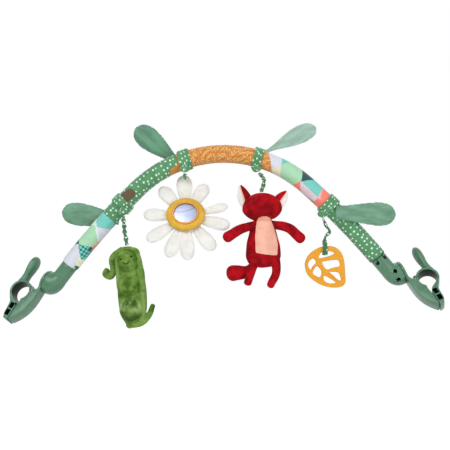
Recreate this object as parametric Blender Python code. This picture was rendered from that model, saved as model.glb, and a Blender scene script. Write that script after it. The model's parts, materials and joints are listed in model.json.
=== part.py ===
"""Baby play arch: a bendable padded arch that clips over a pram or car seat, with four hanging toys.

The arch lies in the XZ plane and the child lies under it, +Y is away from the viewer. The origin is halfway
between the arch's ends, in its plane, at the height of the clips' swivel discs on an untwisted arch. Metres, +Z up.
"""

import math

import bmesh
import bpy
from mathutils import Matrix, Vector

# Gaps and cuts
GAP = 0.0004
SEAT_GAP = 0.0003
OVERRUN = 0.004

# Arch centreline: a crown arc, then a leg of larger radius on each side
CROWN_RADIUS = 0.168
CROWN_HALF_ANGLE = math.radians(43)
LEG_LENGTH = 0.136
LEG_TURN = math.radians(8)

# Arch layers
CORE_RADIUS = 0.0030
FOAM_RADIUS = 0.0108
SLEEVE_WALL = 0.0010
ARCH_SPANS = 24
ARCH_SIDES = 12
CORE_SIDES = 6

# Where one sleeve fabric ends and the next begins, from the crown, as shares of half the arch's length
LEFT_PRINT_END_SHARE = -0.680
LEFT_DOTS_END_SHARE = -0.222
ORANGE_END_SHARE = 0.279
RIGHT_PRINT_END_SHARE = 0.656

# Ribbon ties round the sleeve, placed like the fabrics; knots shift along by shares of a tie's width
TIE_PLACE_SHARES = (-0.584, -0.187, 0.191, 0.634)
TIE_WIDTH = 0.0150
TIE_WALL = 0.0014
TIE_CROWN = 0.0010
KNOT_RADIUS = 0.0062
KNOT_HALF_LENGTH = 0.0078
KNOT_SINK_SHARE = 0.35
KNOT_ANGLES = (math.radians(33), math.radians(43), math.radians(57), math.radians(63))
KNOT_SHIFT_SHARES = (-0.40, -0.29, 0.12, 0.10)

# Leaves
LEAF_LENGTH = 0.0830
LEAF_WIDTH = 0.0330
LEAF_THICKNESS = 0.0060
LEAF_STAND_OFF = 0.0004
LEAF_REST_SHARE = 0.31
LEAF_SHIFT_SHARES = (-0.241, -0.094, 0.061, 0.141)
LEAF_UP_SHARES = (-0.75, -0.15, 0.63, -0.18)
LEAF_BACK_SHARES = (1.0, 0.918, 0.80, -1.0)
LEAF_HEADINGS = (math.radians(170.5), math.radians(139.6), math.radians(25), math.radians(-3.6))
LEAF_ROLLS = (0, 0, math.radians(-32), 0)
LEAVES_OVER_TIES = (1, 2)
LEAF_SIDES = 8
LEAF_LENGTH_SHARES = (0.0, 0.14, 0.32, 0.52, 0.72, 0.87, 0.96, 1.0)
LEAF_WIDTH_SHARES = (
    (0.42, 0.56, 0.76, 0.94, 1.0, 0.82, 0.50, 0.14),
    (0.26, 0.38, 0.62, 0.88, 1.0, 0.82, 0.50, 0.14),
    (0.22, 0.28, 0.56, 0.86, 1.0, 0.82, 0.50, 0.14),
    (0.60, 0.66, 0.78, 0.92, 1.0, 0.84, 0.50, 0.14),
)
LEAF_THICKNESS_SHARES = (0.45, 0.60, 0.85, 1.0, 1.0, 0.80, 0.55, 0.25)

# Elbows: a straight neck, then a bend that turns about the inner crease and swells to the swivel disc
NECK_LENGTH = 0.0205
NECK_RADIUS = 0.0108
NECK_TUCK = 0.0140
NECK_TUCK_RADIUS = 0.0104
NECK_SHOULDER = 0.0006
DISC_RADIUS = 0.0156
ELBOW_BEND = math.radians(74)
ELBOW_CREASE = 0.0006
ELBOW_RIM = 0.0035
ELBOW_WALL = 0.0022
ELBOW_END_WALL = 0.0026
ELBOW_SIDES = 12
BEND_STEPS = 6
BULKHEAD = 0.0090
ROD_END = 0.0120

# Elbow screws, from the neck's start and from the disc's centre
SCREW_HEAD_RADIUS = 0.0020
SCREW_HEAD_HEIGHT = 0.0016
SCREW_SHANK_RADIUS = 0.0010
SCREW_SEAT = 0.0055
SCREW_REACH = 0.0062
SCREW_POST_RADIUS = 0.0032
SCREW_SIDES = 8
NECK_SCREW_RUN = 0.0046
NECK_SCREW_OFFSET = 0.0064
CREASE_SCREW_BACK = 0.0088
CREASE_SCREW_UP = 0.0074
HEEL_SCREW_BACK = 0.0092
HEEL_SCREW_DOWN = 0.0042

# Swivel stem, moulded on the clip's disc and trapped between the elbow's shells
STEM_RADIUS = 0.0047
FLANGE_RADIUS = 0.0075
FLANGE_HEIGHT = 0.0020
PLATE_THICKNESS = 0.0042
RUNNING_GAP = 0.0005

# Clip: the fixed arm and the sprung jaw meet round a bore that takes the pram's tube
CLIP_WIDTH = 0.0195
CLIP_DISC_RADIUS = 0.0152
BORE_RADIUS = 0.0120
RING_WALL = 0.0030
BORE_OUT = 0.0245
BORE_DOWN = 0.0270
ARM_REACH = 0.0685
TIP_OUT = 0.0180
TIP_GAP = 0.0006
JAW_THICKNESS = 0.0088
ARM_OUTER_SHARES = ((0.02, 0.45), (0.14, 0.64), (0.36, 0.79), (0.66, 0.91), (0.93, 0.99))
ARM_INNER_SHARES = ((1.0, 0.985), (1.0, 0.86), (0.98, 0.72), (0.93, 0.62))
ARM_BORE_ANGLES = (math.radians(127), math.radians(150), math.radians(172), math.radians(195))
JAW_OUTER_SHARES = ((1.62, 0.595), (1.20, 0.67), (1.07, 0.78), (1.0, 0.90), (0.68, 1.0))
JAW_INNER_SHARES = ((0.0, 1.02), (0.0, 0.86), (0.02, 0.73), (0.30, 0.635), (0.80, 0.590))
RING_START = math.radians(205)
RING_OUTER_END = math.radians(395)
RING_INNER_END = math.radians(418)
RING_STEPS = 12
POCKET_DEPTH = 0.0080
POCKET_WALL = 0.0013
POCKET_DOWN = 0.0455
POCKET_LENGTH = 0.0082
POCKET_RIB = 0.0020

# Thumb lever
LEVER_LENGTH = 0.0405
LEVER_ROOT_ANGLE = math.radians(305)
LEVER_LEAN = math.radians(1)
LEVER_HALF_WIDTH = 0.0050
LEVER_HALF_DEPTH = 0.0104
LEVER_SINK = 0.0024
LEVER_SIDES = 12
LEVER_RUN_SHARES = (0.0, 0.12, 0.30, 0.52, 0.74, 0.90, 0.975, 1.0)
LEVER_WIDTH_SHARES = (1.10, 0.92, 0.78, 0.95, 1.0, 0.78, 0.46, 0.16)
LEVER_DEPTH_SHARES = (0.80, 0.72, 0.78, 0.95, 1.0, 0.82, 0.52, 0.20)

# Clip pivot, at the crease where ring and plate meet
PIVOT_OUT = 0.0104
PIVOT_DOWN = 0.0207
PIN_RADIUS = 0.0014
KNUCKLE_RADIUS = 0.0033
KNUCKLE_CLEARANCE = 0.0005
LUG_WIDTH = 0.0038
KNUCKLE_WIDTH = 0.0052

# Torsion spring round the pin
WIRE_RADIUS = 0.0004
COIL_RADIUS = 0.0023
COIL_TURNS = 4
COIL_POINTS_PER_TURN = 8
SPRING_LEG = 0.0021

# How the clips are turned on their swivels as stored, tips towards the viewer
CLIP_TURNS = {"left": math.radians(17), "right": math.radians(38)}

# How far each elbow is twisted in the sleeve, its clip away from the viewer
ELBOW_TWISTS = {"left": math.radians(19), "right": math.radians(1)}

# Rounded ends of stuffed limbs, as shares of the radius: how far out, and how wide there
END_SHARES = ((0.92, 0.30), (0.68, 0.72), (0.25, 0.96))

# Hanging tails
TAIL_RADIUS = 0.0026
TAIL_SIDES = 8
TAIL_FLAT_SHARE = 0.55
KNOT_SKIP = 0.0004

# Tails of the ties: places below the knot's centre, sideways and down, in metres, then the toy
PEA_TAIL = ((0.0000, 0.0089), (0.0010, 0.0200), (0.0014, 0.0275), (0.0030, 0.0370), (0.0039, 0.0440))
FOX_TAIL = ((0.0062, 0.0090), (0.0098, 0.0155), (0.0088, 0.0235), (0.0058, 0.0300))
TEETHER_TAIL = ((0.0020, 0.0088), (0.0044, 0.0162), (0.0090, 0.0240), (0.0035, 0.0303), (0.0020, 0.0368))
TEETHER_HANG = (0.0017, 0.0538)

# Daisy
DAISY_DROP = 0.0645
DAISY_LEAN = math.radians(25)
PETAL_REACH = 0.0610
PETAL_ROOT = 0.0120
PETAL_HALF_WIDTH = 0.0107
PETAL_HALF_THICKNESS = 0.0036
PETAL_SIDES = 8
PETAL_OFFSET = 0.0004
PETAL_ANGLES = tuple(math.radians(a) for a in (92.7, 60, 15, -15, -53, -88, -112, -147, 174.6, 127.7))
PETAL_REACH_SHARES = (1.05, 0.92, 0.96, 1.00, 1.02, 1.03, 1.03, 1.02, 0.95, 0.94)
PETAL_RUN_SHARES = (0.0, 0.30, 0.58, 0.82, 0.95, 1.0)
PETAL_WIDTH_SHARES = (0.55, 0.82, 1.0, 0.92, 0.62, 0.18)
PETAL_THICKNESS_SHARES = (0.70, 0.90, 1.0, 0.90, 0.60, 0.20)
HUB_RADIUS = 0.0230
HUB_HALF_THICKNESS = 0.0034
RING_RADIUS = 0.0262
RING_HEIGHT = 0.0085
RING_LIP = 0.0014
MIRROR_RADIUS = 0.0155
MIRROR_THICKNESS = 0.0020
MIRROR_RECESS = 0.0022
BACK_PAD_RADIUS = 0.0225
BACK_PAD_HEIGHT = 0.0034
OVAL_SHARE = 0.92
ROUND_SIDES = 18
KNUCKLE_SIDES = 10
PIN_SIDES = 10
PLUSH_SIDES = 12
LOOP_SIDE = 0.0004
LOOP_DROP = 0.0145
LOOP_BACK = 0.0165

# Fox: sizes of its padded pieces, and places from the middle of its head
FOX_SIZE = 0.1000
FOX_HEAD = (0.0262, 0.0205, 0.0192)
FOX_HEAD_SIDE = 0.0065
FOX_BODY_LENGTH = 0.0680
FOX_BODY_HALF_WIDTH = 0.0232
FOX_BODY_HALF_DEPTH = 0.0175
FOX_BODY_TOP = 0.0125
FOX_BODY_RUN_SHARES = (0.0, 0.05, 0.16, 0.36, 0.58, 0.78, 0.92, 0.98, 1.0)
FOX_BODY_WIDTH_SHARES = (0.25, 0.48, 0.66, 0.82, 0.97, 1.0, 0.86, 0.60, 0.25)
FOX_BODY_DEPTH_SHARES = (0.25, 0.50, 0.68, 0.86, 1.0, 0.98, 0.80, 0.55, 0.25)
BELLY_WALL = 0.0012
BELLY_OUTLINE_SHARES = ((-0.30, 0.22), (0.47, 0.22), (0.70, 0.45), (0.82, 0.72), (0.70, 0.945), (-0.45, 0.88),
                        (-0.46, 0.57))
ARM_THICKNESS = 0.0070
ARM_PATH_SHARES = {
    "left": ((-0.1, -0.04, -0.235), (-0.3, -0.125, -0.29), (-0.462, -0.225, -0.378)),
    "right": ((0.12, 0, -0.235), (0.34, -0.01, -0.285), (0.49, -0.02, -0.42)),
}
LEG_THICKNESS = 0.0064
LEG_PATH_SHARES = {
    "left": ((-0.1, -0.03, -0.64), (-0.17, -0.04, -0.86), (-0.215, -0.04, -0.99)),
    "right": ((0.15, -0.02, -0.6), (0.165, -0.03, -0.86), (0.09, -0.03, -1.03)),
}
TAIL_PATH_SHARES = ((-0.08, 0.09, -0.74), (-0.22, 0.09, -0.86), (-0.39, 0.07, -0.875))
TAIL_ROOT = 0.0048
TAIL_BULB = 0.0108
EAR_HALF_WIDTH = 0.0084
EAR_HALF_THICKNESS = 0.0026
EAR_BASE_SHARES = {"left": (-0.195, 0.03), "right": (0.17, 0)}
EAR_TIP_SHARES = {"left": (-0.285, 0.3), "right": (0.335, 0.205)}

# Pea pod: places from the tail's end at its top
POD_LENGTH = 0.1075
POD_HALF_WIDTH = 0.0190
POD_HALF_DEPTH = 0.0160
POD_SIDE = 0.0050
POD_BACK = 0.0040
POD_RUN_SHARES = (0.0, 0.05, 0.14, 0.30, 0.50, 0.70, 0.86, 0.95, 1.0)
POD_WIDTH_SHARES = (0.28, 0.60, 0.85, 0.97, 1.0, 1.0, 0.88, 0.60, 0.25)
PEA_RADIUS_SHARES = (0.779, 0.789, 0.821)
PEA_DROP_SHARES = (0.172, 0.47, 0.767)
PEA_SIDE_SHARES = (0.026, 0.158, 0.237)
PEA_FRONT = 0.0065
CURL_PATH_SHARES = ((-0.074, 0, -0.056), (-0.181, 0, -0.14), (-0.179, 0, -0.288), (-0.219, 0, -0.367),
             (-0.279, 0, -0.335), (-0.265, 0, -0.298))
CURL_THICKNESS = 0.0052
CURL_END = 0.0040
STEM_PATH_SHARES = ((0.019, -0.019, -0.958), (0.149, -0.037, -0.94), (0.251, -0.037, -0.856),
             (0.302, -0.028, -0.744))
STEM_THICKNESS = 0.0056
STEM_TIP = 0.0034

# Leaf teether: outline and openings as shares of its width and height
TEETHER_WIDTH = 0.0525
TEETHER_HEIGHT = 0.0547
TEETHER_THICKNESS = 0.0060
TEETHER_BEVEL = 0.0008
TEETHER_HANG_SHARES = (0.505, 0.815)
TEETHER_OUTLINE_SHARES = (
    (0.43, 0.984), (0.252, 0.912), (0.092, 0.784), (0.012, 0.632), (0.005, 0.496), (0.052, 0.34), (0.156, 0.22),
    (0.316, 0.11), (0.492, 0.035), (0.668, 0.0), (0.828, 0.0), (0.948, 0.04), (1.0, 0.136), (0.995, 0.352),
    (0.984, 0.592), (0.948, 0.76), (0.868, 0.888), (0.748, 0.972), (0.588, 1.0),
)
TEETHER_OPENING_SHARES = (
    ((0.36, 0.715), (0.40, 0.835), (0.50, 0.880), (0.66, 0.872), (0.745, 0.815), (0.58, 0.755)),
    ((0.436, 0.608), (0.588, 0.645), (0.80, 0.660), (0.868, 0.592), (0.86, 0.504), (0.70, 0.48), (0.545, 0.44)),
    ((0.612, 0.368), (0.80, 0.355), (0.86, 0.304), (0.90, 0.170), (0.82, 0.180), (0.70, 0.290)),
    ((0.204, 0.704), (0.268, 0.608), (0.188, 0.528), (0.14, 0.44), (0.076, 0.544), (0.10, 0.64)),
    ((0.308, 0.512), (0.404, 0.384), (0.356, 0.256), (0.196, 0.344), (0.228, 0.448)),
    ((0.476, 0.28), (0.60, 0.215), (0.765, 0.112), (0.668, 0.090), (0.55, 0.115), (0.468, 0.182)),
)

# Colours, as red, green and blue from 0 to 1
GREEN_PLASTIC = (0.105, 0.262, 0.135)
LEAF_FABRIC = (0.130, 0.330, 0.190)
PRINT_FABRIC = (0.620, 0.700, 0.680)
DOTTED_FABRIC = (0.125, 0.330, 0.165)
ORANGE_FABRIC = (0.610, 0.262, 0.060)
WHITE_PLUSH = (0.820, 0.810, 0.780)
YELLOW_FABRIC = (0.760, 0.450, 0.070)
MIRROR_FILM = (0.800, 0.820, 0.860)
RED_PLUSH = (0.380, 0.008, 0.014)
PEACH_PLUSH = (0.860, 0.420, 0.290)
PEA_PLUSH = (0.170, 0.290, 0.050)
TEETHER_SILICONE = (0.840, 0.390, 0.020)
STEEL = (0.560, 0.570, 0.580)
FOAM = (0.780, 0.780, 0.760)


def clear_scene():
    for obj in list(bpy.data.objects):
        bpy.data.objects.remove(obj, do_unlink=True)


def material(name, colour, roughness, metallic=0.0):
    made = bpy.data.materials.get(name)
    if made is None:
        made = bpy.data.materials.new(name)
        made.use_nodes = True
        shader = made.node_tree.nodes["Principled BSDF"]
        shader.inputs["Base Color"].default_value = (*colour, 1.0)
        shader.inputs["Roughness"].default_value = roughness
        shader.inputs["Metallic"].default_value = metallic
        made.diffuse_color = (*colour, 1.0)
    return made


def plastic(name):
    return material(name, GREEN_PLASTIC, 0.35)


def steel(name):
    return material(name, STEEL, 0.30, 1.0)


def cloth(name, colour):
    return material(name, colour, 0.90)


def place(name, bm, finish=None, parent=None):
    """Turns a bmesh into a named object with its own material, shaded smooth where it is round."""
    bmesh.ops.recalc_face_normals(bm, faces=bm.faces)
    mesh = bpy.data.meshes.new(name)
    bm.to_mesh(mesh)
    bm.free()
    mesh.shade_smooth()
    mesh.set_sharp_from_angle(angle=math.radians(40))
    obj = bpy.data.objects.new(name, mesh)
    bpy.context.scene.collection.objects.link(obj)
    obj.parent = parent
    if finish is None:
        obj.hide_render = True
        obj.display_type = "WIRE"
    else:
        mesh.materials.append(finish)
    return obj


def empty(name, matrix):
    """A joint's or an assembly's own place, which its pieces hang from."""
    obj = bpy.data.objects.new(name, None)
    bpy.context.scene.collection.objects.link(obj)
    obj.matrix_world = matrix
    return obj


def hang_on(name, matrix, build, *given, parent=None):
    """Builds pieces and hangs them, with their cutters, from an empty on their joint's axis."""
    before = set(bpy.data.objects)
    build(*given)
    joint = empty(name, matrix)
    joint.parent = parent
    for obj in set(bpy.data.objects) - before - {joint}:
        if obj.parent == parent:
            obj.parent = joint
            obj.matrix_parent_inverse = matrix.inverted()


def boolean(obj, other, operation):
    step = obj.modifiers.new(operation.lower(), "BOOLEAN")
    step.operation = operation
    step.object = other
    step.solver = "EXACT"


def cut(obj, *cutters):
    for cutter in cutters:
        boolean(obj, cutter, "DIFFERENCE")


def join(obj, *others):
    for other in others:
        boolean(obj, other, "UNION")


def ring_points(centre, across, up, half_width, half_height, sides):
    """Points of an ellipse about centre."""
    turns = [2 * math.pi * n / sides for n in range(sides)]
    return [centre + across * half_width * math.cos(a) + up * half_height * math.sin(a) for a in turns]


def loft(name, rings, finish=None, parent=None, hollow=False):
    """A skin through closed rings of points; a hollow one runs back through itself and needs no caps."""
    bm = bmesh.new()
    loops = [[bm.verts.new(point) for point in ring] for ring in rings]
    following = loops[1:] + (loops[:1] if hollow else [])
    for first, second in zip(loops, following):
        for n in range(len(first)):
            bm.faces.new((first[n - 1], first[n], second[n], second[n - 1]))
    if not hollow:
        bm.faces.new(loops[0])
        bm.faces.new(loops[-1])
    return place(name, bm, finish, parent)


def turned(name, profile, sides, finish=None, parent=None, matrix=None, oval=1.0, hollow=False):
    """A turned piece: profile holds places along local Y and the radius there."""
    matrix = matrix or Matrix.Identity(4)
    across, up = Vector((1, 0, 0)), Vector((0, 0, 1))
    rings = []
    for along, radius in profile:
        ring = ring_points(Vector((0, along, 0)), across, up, radius, radius * oval, sides)
        rings.append([matrix @ point for point in ring])
    return loft(name, rings, finish, parent, hollow)


def prism(name, outline, low, high, finish=None, parent=None):
    """An outline in the XZ plane, given a thickness along Y."""
    bm = bmesh.new()
    verts = [bm.verts.new((x, low, z)) for x, z in outline]
    face = bm.faces.new(verts)
    grown = bmesh.ops.extrude_face_region(bm, geom=[face])
    moved = [v for v in grown["geom"] if isinstance(v, bmesh.types.BMVert)]
    bmesh.ops.translate(bm, verts=moved, vec=(0, high - low, 0))
    return place(name, bm, finish, parent)


def ball(name, centre, radii, finish=None, parent=None, grow=0.0, segments=14, rings=9):
    bm = bmesh.new()
    bmesh.ops.create_uvsphere(bm, u_segments=segments, v_segments=rings, radius=1)
    size = Matrix.Diagonal([radius + grow for radius in radii]).to_4x4()
    bmesh.ops.transform(bm, matrix=Matrix.Translation(centre) @ size, verts=bm.verts)
    return place(name, bm, finish, parent)


def smooth_path(points, steps):
    """Points along a Catmull-Rom curve through the given ones, with steps points for each stretch."""
    points = [Vector(p) for p in points]
    ends = [2 * points[0] - points[1]] + points + [2 * points[-1] - points[-2]]
    path = []
    for n in range(len(points) - 1):
        a, b, c, d = ends[n:n + 4]
        for step in range(steps):
            t = step / steps
            path.append(0.5 * (2 * b + (c - a) * t + (2 * a - 5 * b + 4 * c - d) * t ** 2
                               + (3 * b - a - 3 * c + d) * t ** 3))
    return path + [points[-1]]


def limb(name, points, radii, finish=None, parent=None, grow=0.0, sides=8, steps=4, flat=1.0, upright="Y"):
    """A stuffed tube along a smooth path, swelling from the first radius to the last, with rounded ends.

    Flat is its thickness as a share of its width. Upright is the axis that its path never runs along.
    """
    path = smooth_path(points, steps)
    rings = []
    last = len(path) - 1
    for n, centre in enumerate(path):
        along = (path[min(n + 1, last)] - path[max(n - 1, 0)]).normalized()
        first = along.cross(Vector((0, 1, 0)) if upright == "Y" else Vector((1, 0, 0))).normalized()
        second = first.cross(along).normalized()
        across, depth = (first, second) if upright == "Y" else (second, first)
        radius = radii[0] + (radii[-1] - radii[0]) * n / last + grow
        rings.append((centre, across, depth, along, radius))
    found = []
    for n, (centre, across, depth, along, radius) in enumerate(rings):
        if 0 < n < last:
            found.append(ring_points(centre, across, depth, radius, radius * flat, sides))
            continue
        inward = along if n == 0 else -along
        end = [ring_points(centre - inward * radius * out, across, depth, radius * size, radius * size * flat, sides)
               for out, size in END_SHARES]
        found += end if n == 0 else end[::-1]
    return loft(name, found, finish, parent)


def curve_frame(run):
    """Place, outward normal and tangent of the arch's centreline at a run from the crown."""
    side = -1 if run < 0 else 1
    crown_run = CROWN_RADIUS * CROWN_HALF_ANGLE
    leg_radius = LEG_LENGTH / LEG_TURN
    if abs(run) <= crown_run:
        angle = abs(run) / CROWN_RADIUS
        out = CROWN_RADIUS * math.sin(angle)
        drop = CROWN_RADIUS * (1 - math.cos(angle))
    else:
        angle = CROWN_HALF_ANGLE + (abs(run) - crown_run) / leg_radius
        out = CROWN_RADIUS * math.sin(CROWN_HALF_ANGLE)
        out += leg_radius * (math.sin(angle) - math.sin(CROWN_HALF_ANGLE))
        drop = CROWN_RADIUS * (1 - math.cos(CROWN_HALF_ANGLE))
        drop += leg_radius * (math.cos(CROWN_HALF_ANGLE) - math.cos(angle))
    normal = Vector((side * math.sin(angle), 0, math.cos(angle)))
    tangent = Vector((math.cos(angle), 0, -side * math.sin(angle)))
    return Vector((side * out, 0, arch_height() - drop)), normal, tangent


def half_run():
    return CROWN_RADIUS * CROWN_HALF_ANGLE + LEG_LENGTH


def arch_station(index):
    """Run of one of the stations that every layer of the arch shares, so that its facets lie together."""
    return half_run() * (2 * index / ARCH_SPANS - 1)


def arch_frame(run):
    """Place, outward normal and tangent on the straight spans between the stations, and beyond the ends."""
    index = math.floor((run / half_run() + 1) / 2 * ARCH_SPANS)
    index = min(max(index, 0), ARCH_SPANS - 1)
    first, last = arch_station(index), arch_station(index + 1)
    if not first <= run <= last:
        centre, normal, tangent = curve_frame(first if run < first else last)
        return centre + tangent * (run - (first if run < first else last)), normal, tangent
    share = (run - first) / (last - first)
    start, end = curve_frame(first), curve_frame(last)
    centre, normal, tangent = (a.lerp(b, share) for a, b in zip(start, end))
    return centre, normal.normalized(), tangent.normalized()


def arch_end():
    """Place of the arch's right end from the crown, as a distance out and a distance down."""
    leg_radius = LEG_LENGTH / LEG_TURN
    last = CROWN_HALF_ANGLE + LEG_TURN
    out = CROWN_RADIUS * math.sin(CROWN_HALF_ANGLE)
    out += leg_radius * (math.sin(last) - math.sin(CROWN_HALF_ANGLE))
    down = CROWN_RADIUS * (1 - math.cos(CROWN_HALF_ANGLE))
    down += leg_radius * (math.cos(CROWN_HALF_ANGLE) - math.cos(last))
    return out, down


def elbow_stations():
    """Centre, heading and radius of each section of the right elbow, from the sleeve's end; x out, z up."""
    heading = -(CROWN_HALF_ANGLE + LEG_TURN)
    along = Vector((math.cos(heading), 0, math.sin(heading)))
    stations = [(along * run, heading, NECK_TUCK_RADIUS) for run in (-NECK_TUCK, NECK_SHOULDER / 2)]
    stations += [(along * run, heading, NECK_RADIUS) for run in (NECK_SHOULDER, NECK_LENGTH / 2, NECK_LENGTH)]
    inner = Vector((-math.sin(heading), 0, math.cos(heading)))
    crease = along * NECK_LENGTH + inner * (NECK_RADIUS + ELBOW_CREASE)
    for step in range(1, BEND_STEPS + 1):
        share = step / BEND_STEPS
        turn = heading + ELBOW_BEND * share
        radius = NECK_RADIUS + (DISC_RADIUS - NECK_RADIUS) * math.sin(share * math.pi / 2)
        outward = Vector((math.sin(turn), 0, -math.cos(turn)))
        stations.append((crease + outward * (radius + ELBOW_CREASE), turn, radius))
    centre, turn, radius = stations[-1]
    end = centre + Vector((math.cos(turn), 0, math.sin(turn))) * ELBOW_RIM
    stations.append((end, turn, radius))
    return stations


def arch_height():
    """Height of the crown's centreline, which puts the clips' discs at the origin's height."""
    return arch_end()[1] - elbow_stations()[-1][0].z


def elbow_place(side):
    """Frame of an elbow at the sleeve's end, before it turns to its own side."""
    start, _, along = arch_frame(half_run())
    sense = -1 if side == "right" else 1
    return side_turn(side) @ Matrix.Translation(start) @ Matrix.Rotation(sense * ELBOW_TWISTS[side], 4, along)


def disc_frame():
    """Place of the right elbow's end face from the sleeve's end, with local X out along the swivel's axis."""
    centre, turn, _ = elbow_stations()[-1]
    return Matrix.Translation(centre) @ Matrix.Rotation(-turn, 4, "Y")


def side_turn(side):
    """The left elbow and clip are the right ones turned round."""
    return Matrix.Rotation(math.pi if side == "left" else 0, 4, "Z")


def arch_rings(start, end, radius, sides=ARCH_SIDES):
    """Rings round the centreline from one run to another, with one at each shared station between them."""
    stations = [arch_station(index) for index in range(ARCH_SPANS + 1)]
    runs = [start] + [run for run in stations if start + GAP < run < end - GAP] + [end]
    rings = []
    for run in runs:
        centre, normal, _ = arch_frame(run)
        rings.append(ring_points(centre, normal, Vector((0, 1, 0)), radius, radius, sides))
    return rings


def arch_shell(name, start, end, outer, inner, finish, sides=ARCH_SIDES):
    rings = arch_rings(start, end, outer, sides) + arch_rings(start, end, inner, sides)[::-1]
    return loft(name, rings, finish, hollow=True)


def sleeve_radius():
    return FOAM_RADIUS + SEAT_GAP + SLEEVE_WALL


def build_arch():
    reach = half_run()
    rod = arch_rings(-reach - ROD_END, reach + ROD_END, CORE_RADIUS, CORE_SIDES)
    loft("core_rod", rod, steel("core rod steel"))
    foam_end = reach - NECK_TUCK - GAP
    arch_shell("foam_tube", -foam_end, foam_end, FOAM_RADIUS, CORE_RADIUS + SEAT_GAP, material("foam", FOAM, 1.0),
               CORE_SIDES)
    inner = FOAM_RADIUS + SEAT_GAP
    half_seam = SEAT_GAP / 2
    sections = (
        ("sleeve_left_print", -reach, reach * LEFT_PRINT_END_SHARE, PRINT_FABRIC),
        ("sleeve_left_dots", reach * LEFT_PRINT_END_SHARE, reach * LEFT_DOTS_END_SHARE, DOTTED_FABRIC),
        ("sleeve_orange", reach * LEFT_DOTS_END_SHARE, reach * ORANGE_END_SHARE, ORANGE_FABRIC),
        ("sleeve_right_print", reach * ORANGE_END_SHARE, reach * RIGHT_PRINT_END_SHARE, PRINT_FABRIC),
        ("sleeve_right_dots", reach * RIGHT_PRINT_END_SHARE, reach, DOTTED_FABRIC),
    )
    for name, start, end, colour in sections:
        arch_shell(name, start + half_seam, end - half_seam, sleeve_radius(), inner, cloth(name, colour))


def tie_run(index):
    return half_run() * TIE_PLACE_SHARES[index]


def tie_bore():
    return sleeve_radius() + SEAT_GAP


def knot_centre(index):
    """The knot sits on the front of the sleeve, below its middle."""
    centre, normal, _ = arch_frame(tie_run(index) + TIE_WIDTH * KNOT_SHIFT_SHARES[index])
    reach = tie_bore() + KNOT_RADIUS * (1 - KNOT_SINK_SHARE)
    angle = KNOT_ANGLES[index]
    away = Vector((0, -math.cos(angle), 0)) - normal * math.sin(angle)
    return centre + away * reach


def build_tie(index):
    """A band of ribbon round the sleeve with its knot."""
    run = tie_run(index)
    name = f"tie_{index + 1}"
    half = TIE_WIDTH / 2
    bore = tie_bore()
    rings = []
    for share, height in ((-1, 0), (-0.6, TIE_CROWN), (0, TIE_CROWN), (0.6, TIE_CROWN), (1, 0)):
        centre, normal, _ = arch_frame(run + half * share)
        radius = bore + TIE_WALL + height
        rings.append(ring_points(centre, normal, Vector((0, 1, 0)), radius, radius, ARCH_SIDES))
    band = loft(name, rings, cloth(name, DOTTED_FABRIC))
    knot = ball(f"{name}_knot", knot_centre(index), (KNOT_HALF_LENGTH, KNOT_RADIUS, KNOT_RADIUS), segments=10, rings=7)
    space = loft(f"{name}_space", arch_rings(run - TIE_WIDTH, run + TIE_WIDTH, bore))
    join(band, knot)
    cut(band, space)


def leaf_base(index):
    """A leaf starts on its tie, or on the sleeve beside it."""
    centre, normal, _ = arch_frame(tie_run(index) + LEAF_LENGTH * LEAF_SHIFT_SHARES[index])
    skin = tie_bore() + TIE_WALL + TIE_CROWN if index in LEAVES_OVER_TIES else sleeve_radius()
    reach = skin + LEAF_STAND_OFF + LEAF_THICKNESS * LEAF_REST_SHARE
    return centre + (normal * LEAF_UP_SHARES[index] + Vector((0, 1, 0)) * LEAF_BACK_SHARES[index]) * reach


def build_leaves():
    for index, (heading, roll) in enumerate(zip(LEAF_HEADINGS, LEAF_ROLLS)):
        base = leaf_base(index)
        along = Vector((math.cos(heading), 0, math.sin(heading)))
        across = Matrix.Rotation(roll, 3, along) @ along.cross(Vector((0, 1, 0)))
        face = along.cross(across)
        table = zip(LEAF_LENGTH_SHARES, LEAF_WIDTH_SHARES[index], LEAF_THICKNESS_SHARES)
        rings = [ring_points(base + along * LEAF_LENGTH * run, across, face, LEAF_WIDTH / 2 * width,
                             LEAF_THICKNESS / 2 * thick, LEAF_SIDES) for run, width, thick in table]
        name = f"leaf_{index + 1}"
        loft(name, rings, cloth(name, LEAF_FABRIC))


def screw_places():
    """Middle of each elbow screw, x out and z up from the sleeve's end."""
    heading = -(CROWN_HALF_ANGLE + LEG_TURN)
    along = Vector((math.cos(heading), 0, math.sin(heading)))
    across = Vector((-math.sin(heading), 0, math.cos(heading)))
    centre, turn, _ = elbow_stations()[-1]
    out = Vector((math.cos(turn), 0, math.sin(turn)))
    up = Vector((-math.sin(turn), 0, math.cos(turn)))
    return (
        along * NECK_SCREW_RUN + across * NECK_SCREW_OFFSET,
        along * NECK_SCREW_RUN - across * NECK_SCREW_OFFSET,
        centre - out * CREASE_SCREW_BACK + up * CREASE_SCREW_UP,
        centre - out * HEEL_SCREW_BACK - up * HEEL_SCREW_DOWN,
    )


def elbow_loft(name, shrink, skip, parent):
    """The elbow's outer form, or with shrink its hollow; skip holds back the hollow's two ends."""
    start, end = skip
    rings = []
    for centre, turn, radius in elbow_stations()[start:]:
        along = Vector((math.cos(turn), 0, math.sin(turn)))
        across = Vector((-math.sin(turn), 0, math.cos(turn)))
        rings.append((centre, along, across, radius - shrink))
    centre, along, across, radius = rings[-1]
    rings[-1] = (centre - along * end, along, across, radius)
    if shrink:
        centre, along, across, radius = rings[0]
        rings[0] = (along * BULKHEAD, along, across, radius)
    points = [ring_points(c, across, Vector((0, 1, 0)), r, r, ELBOW_SIDES) for c, _, across, r in rings]
    return loft(name, points, parent=parent)


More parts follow.
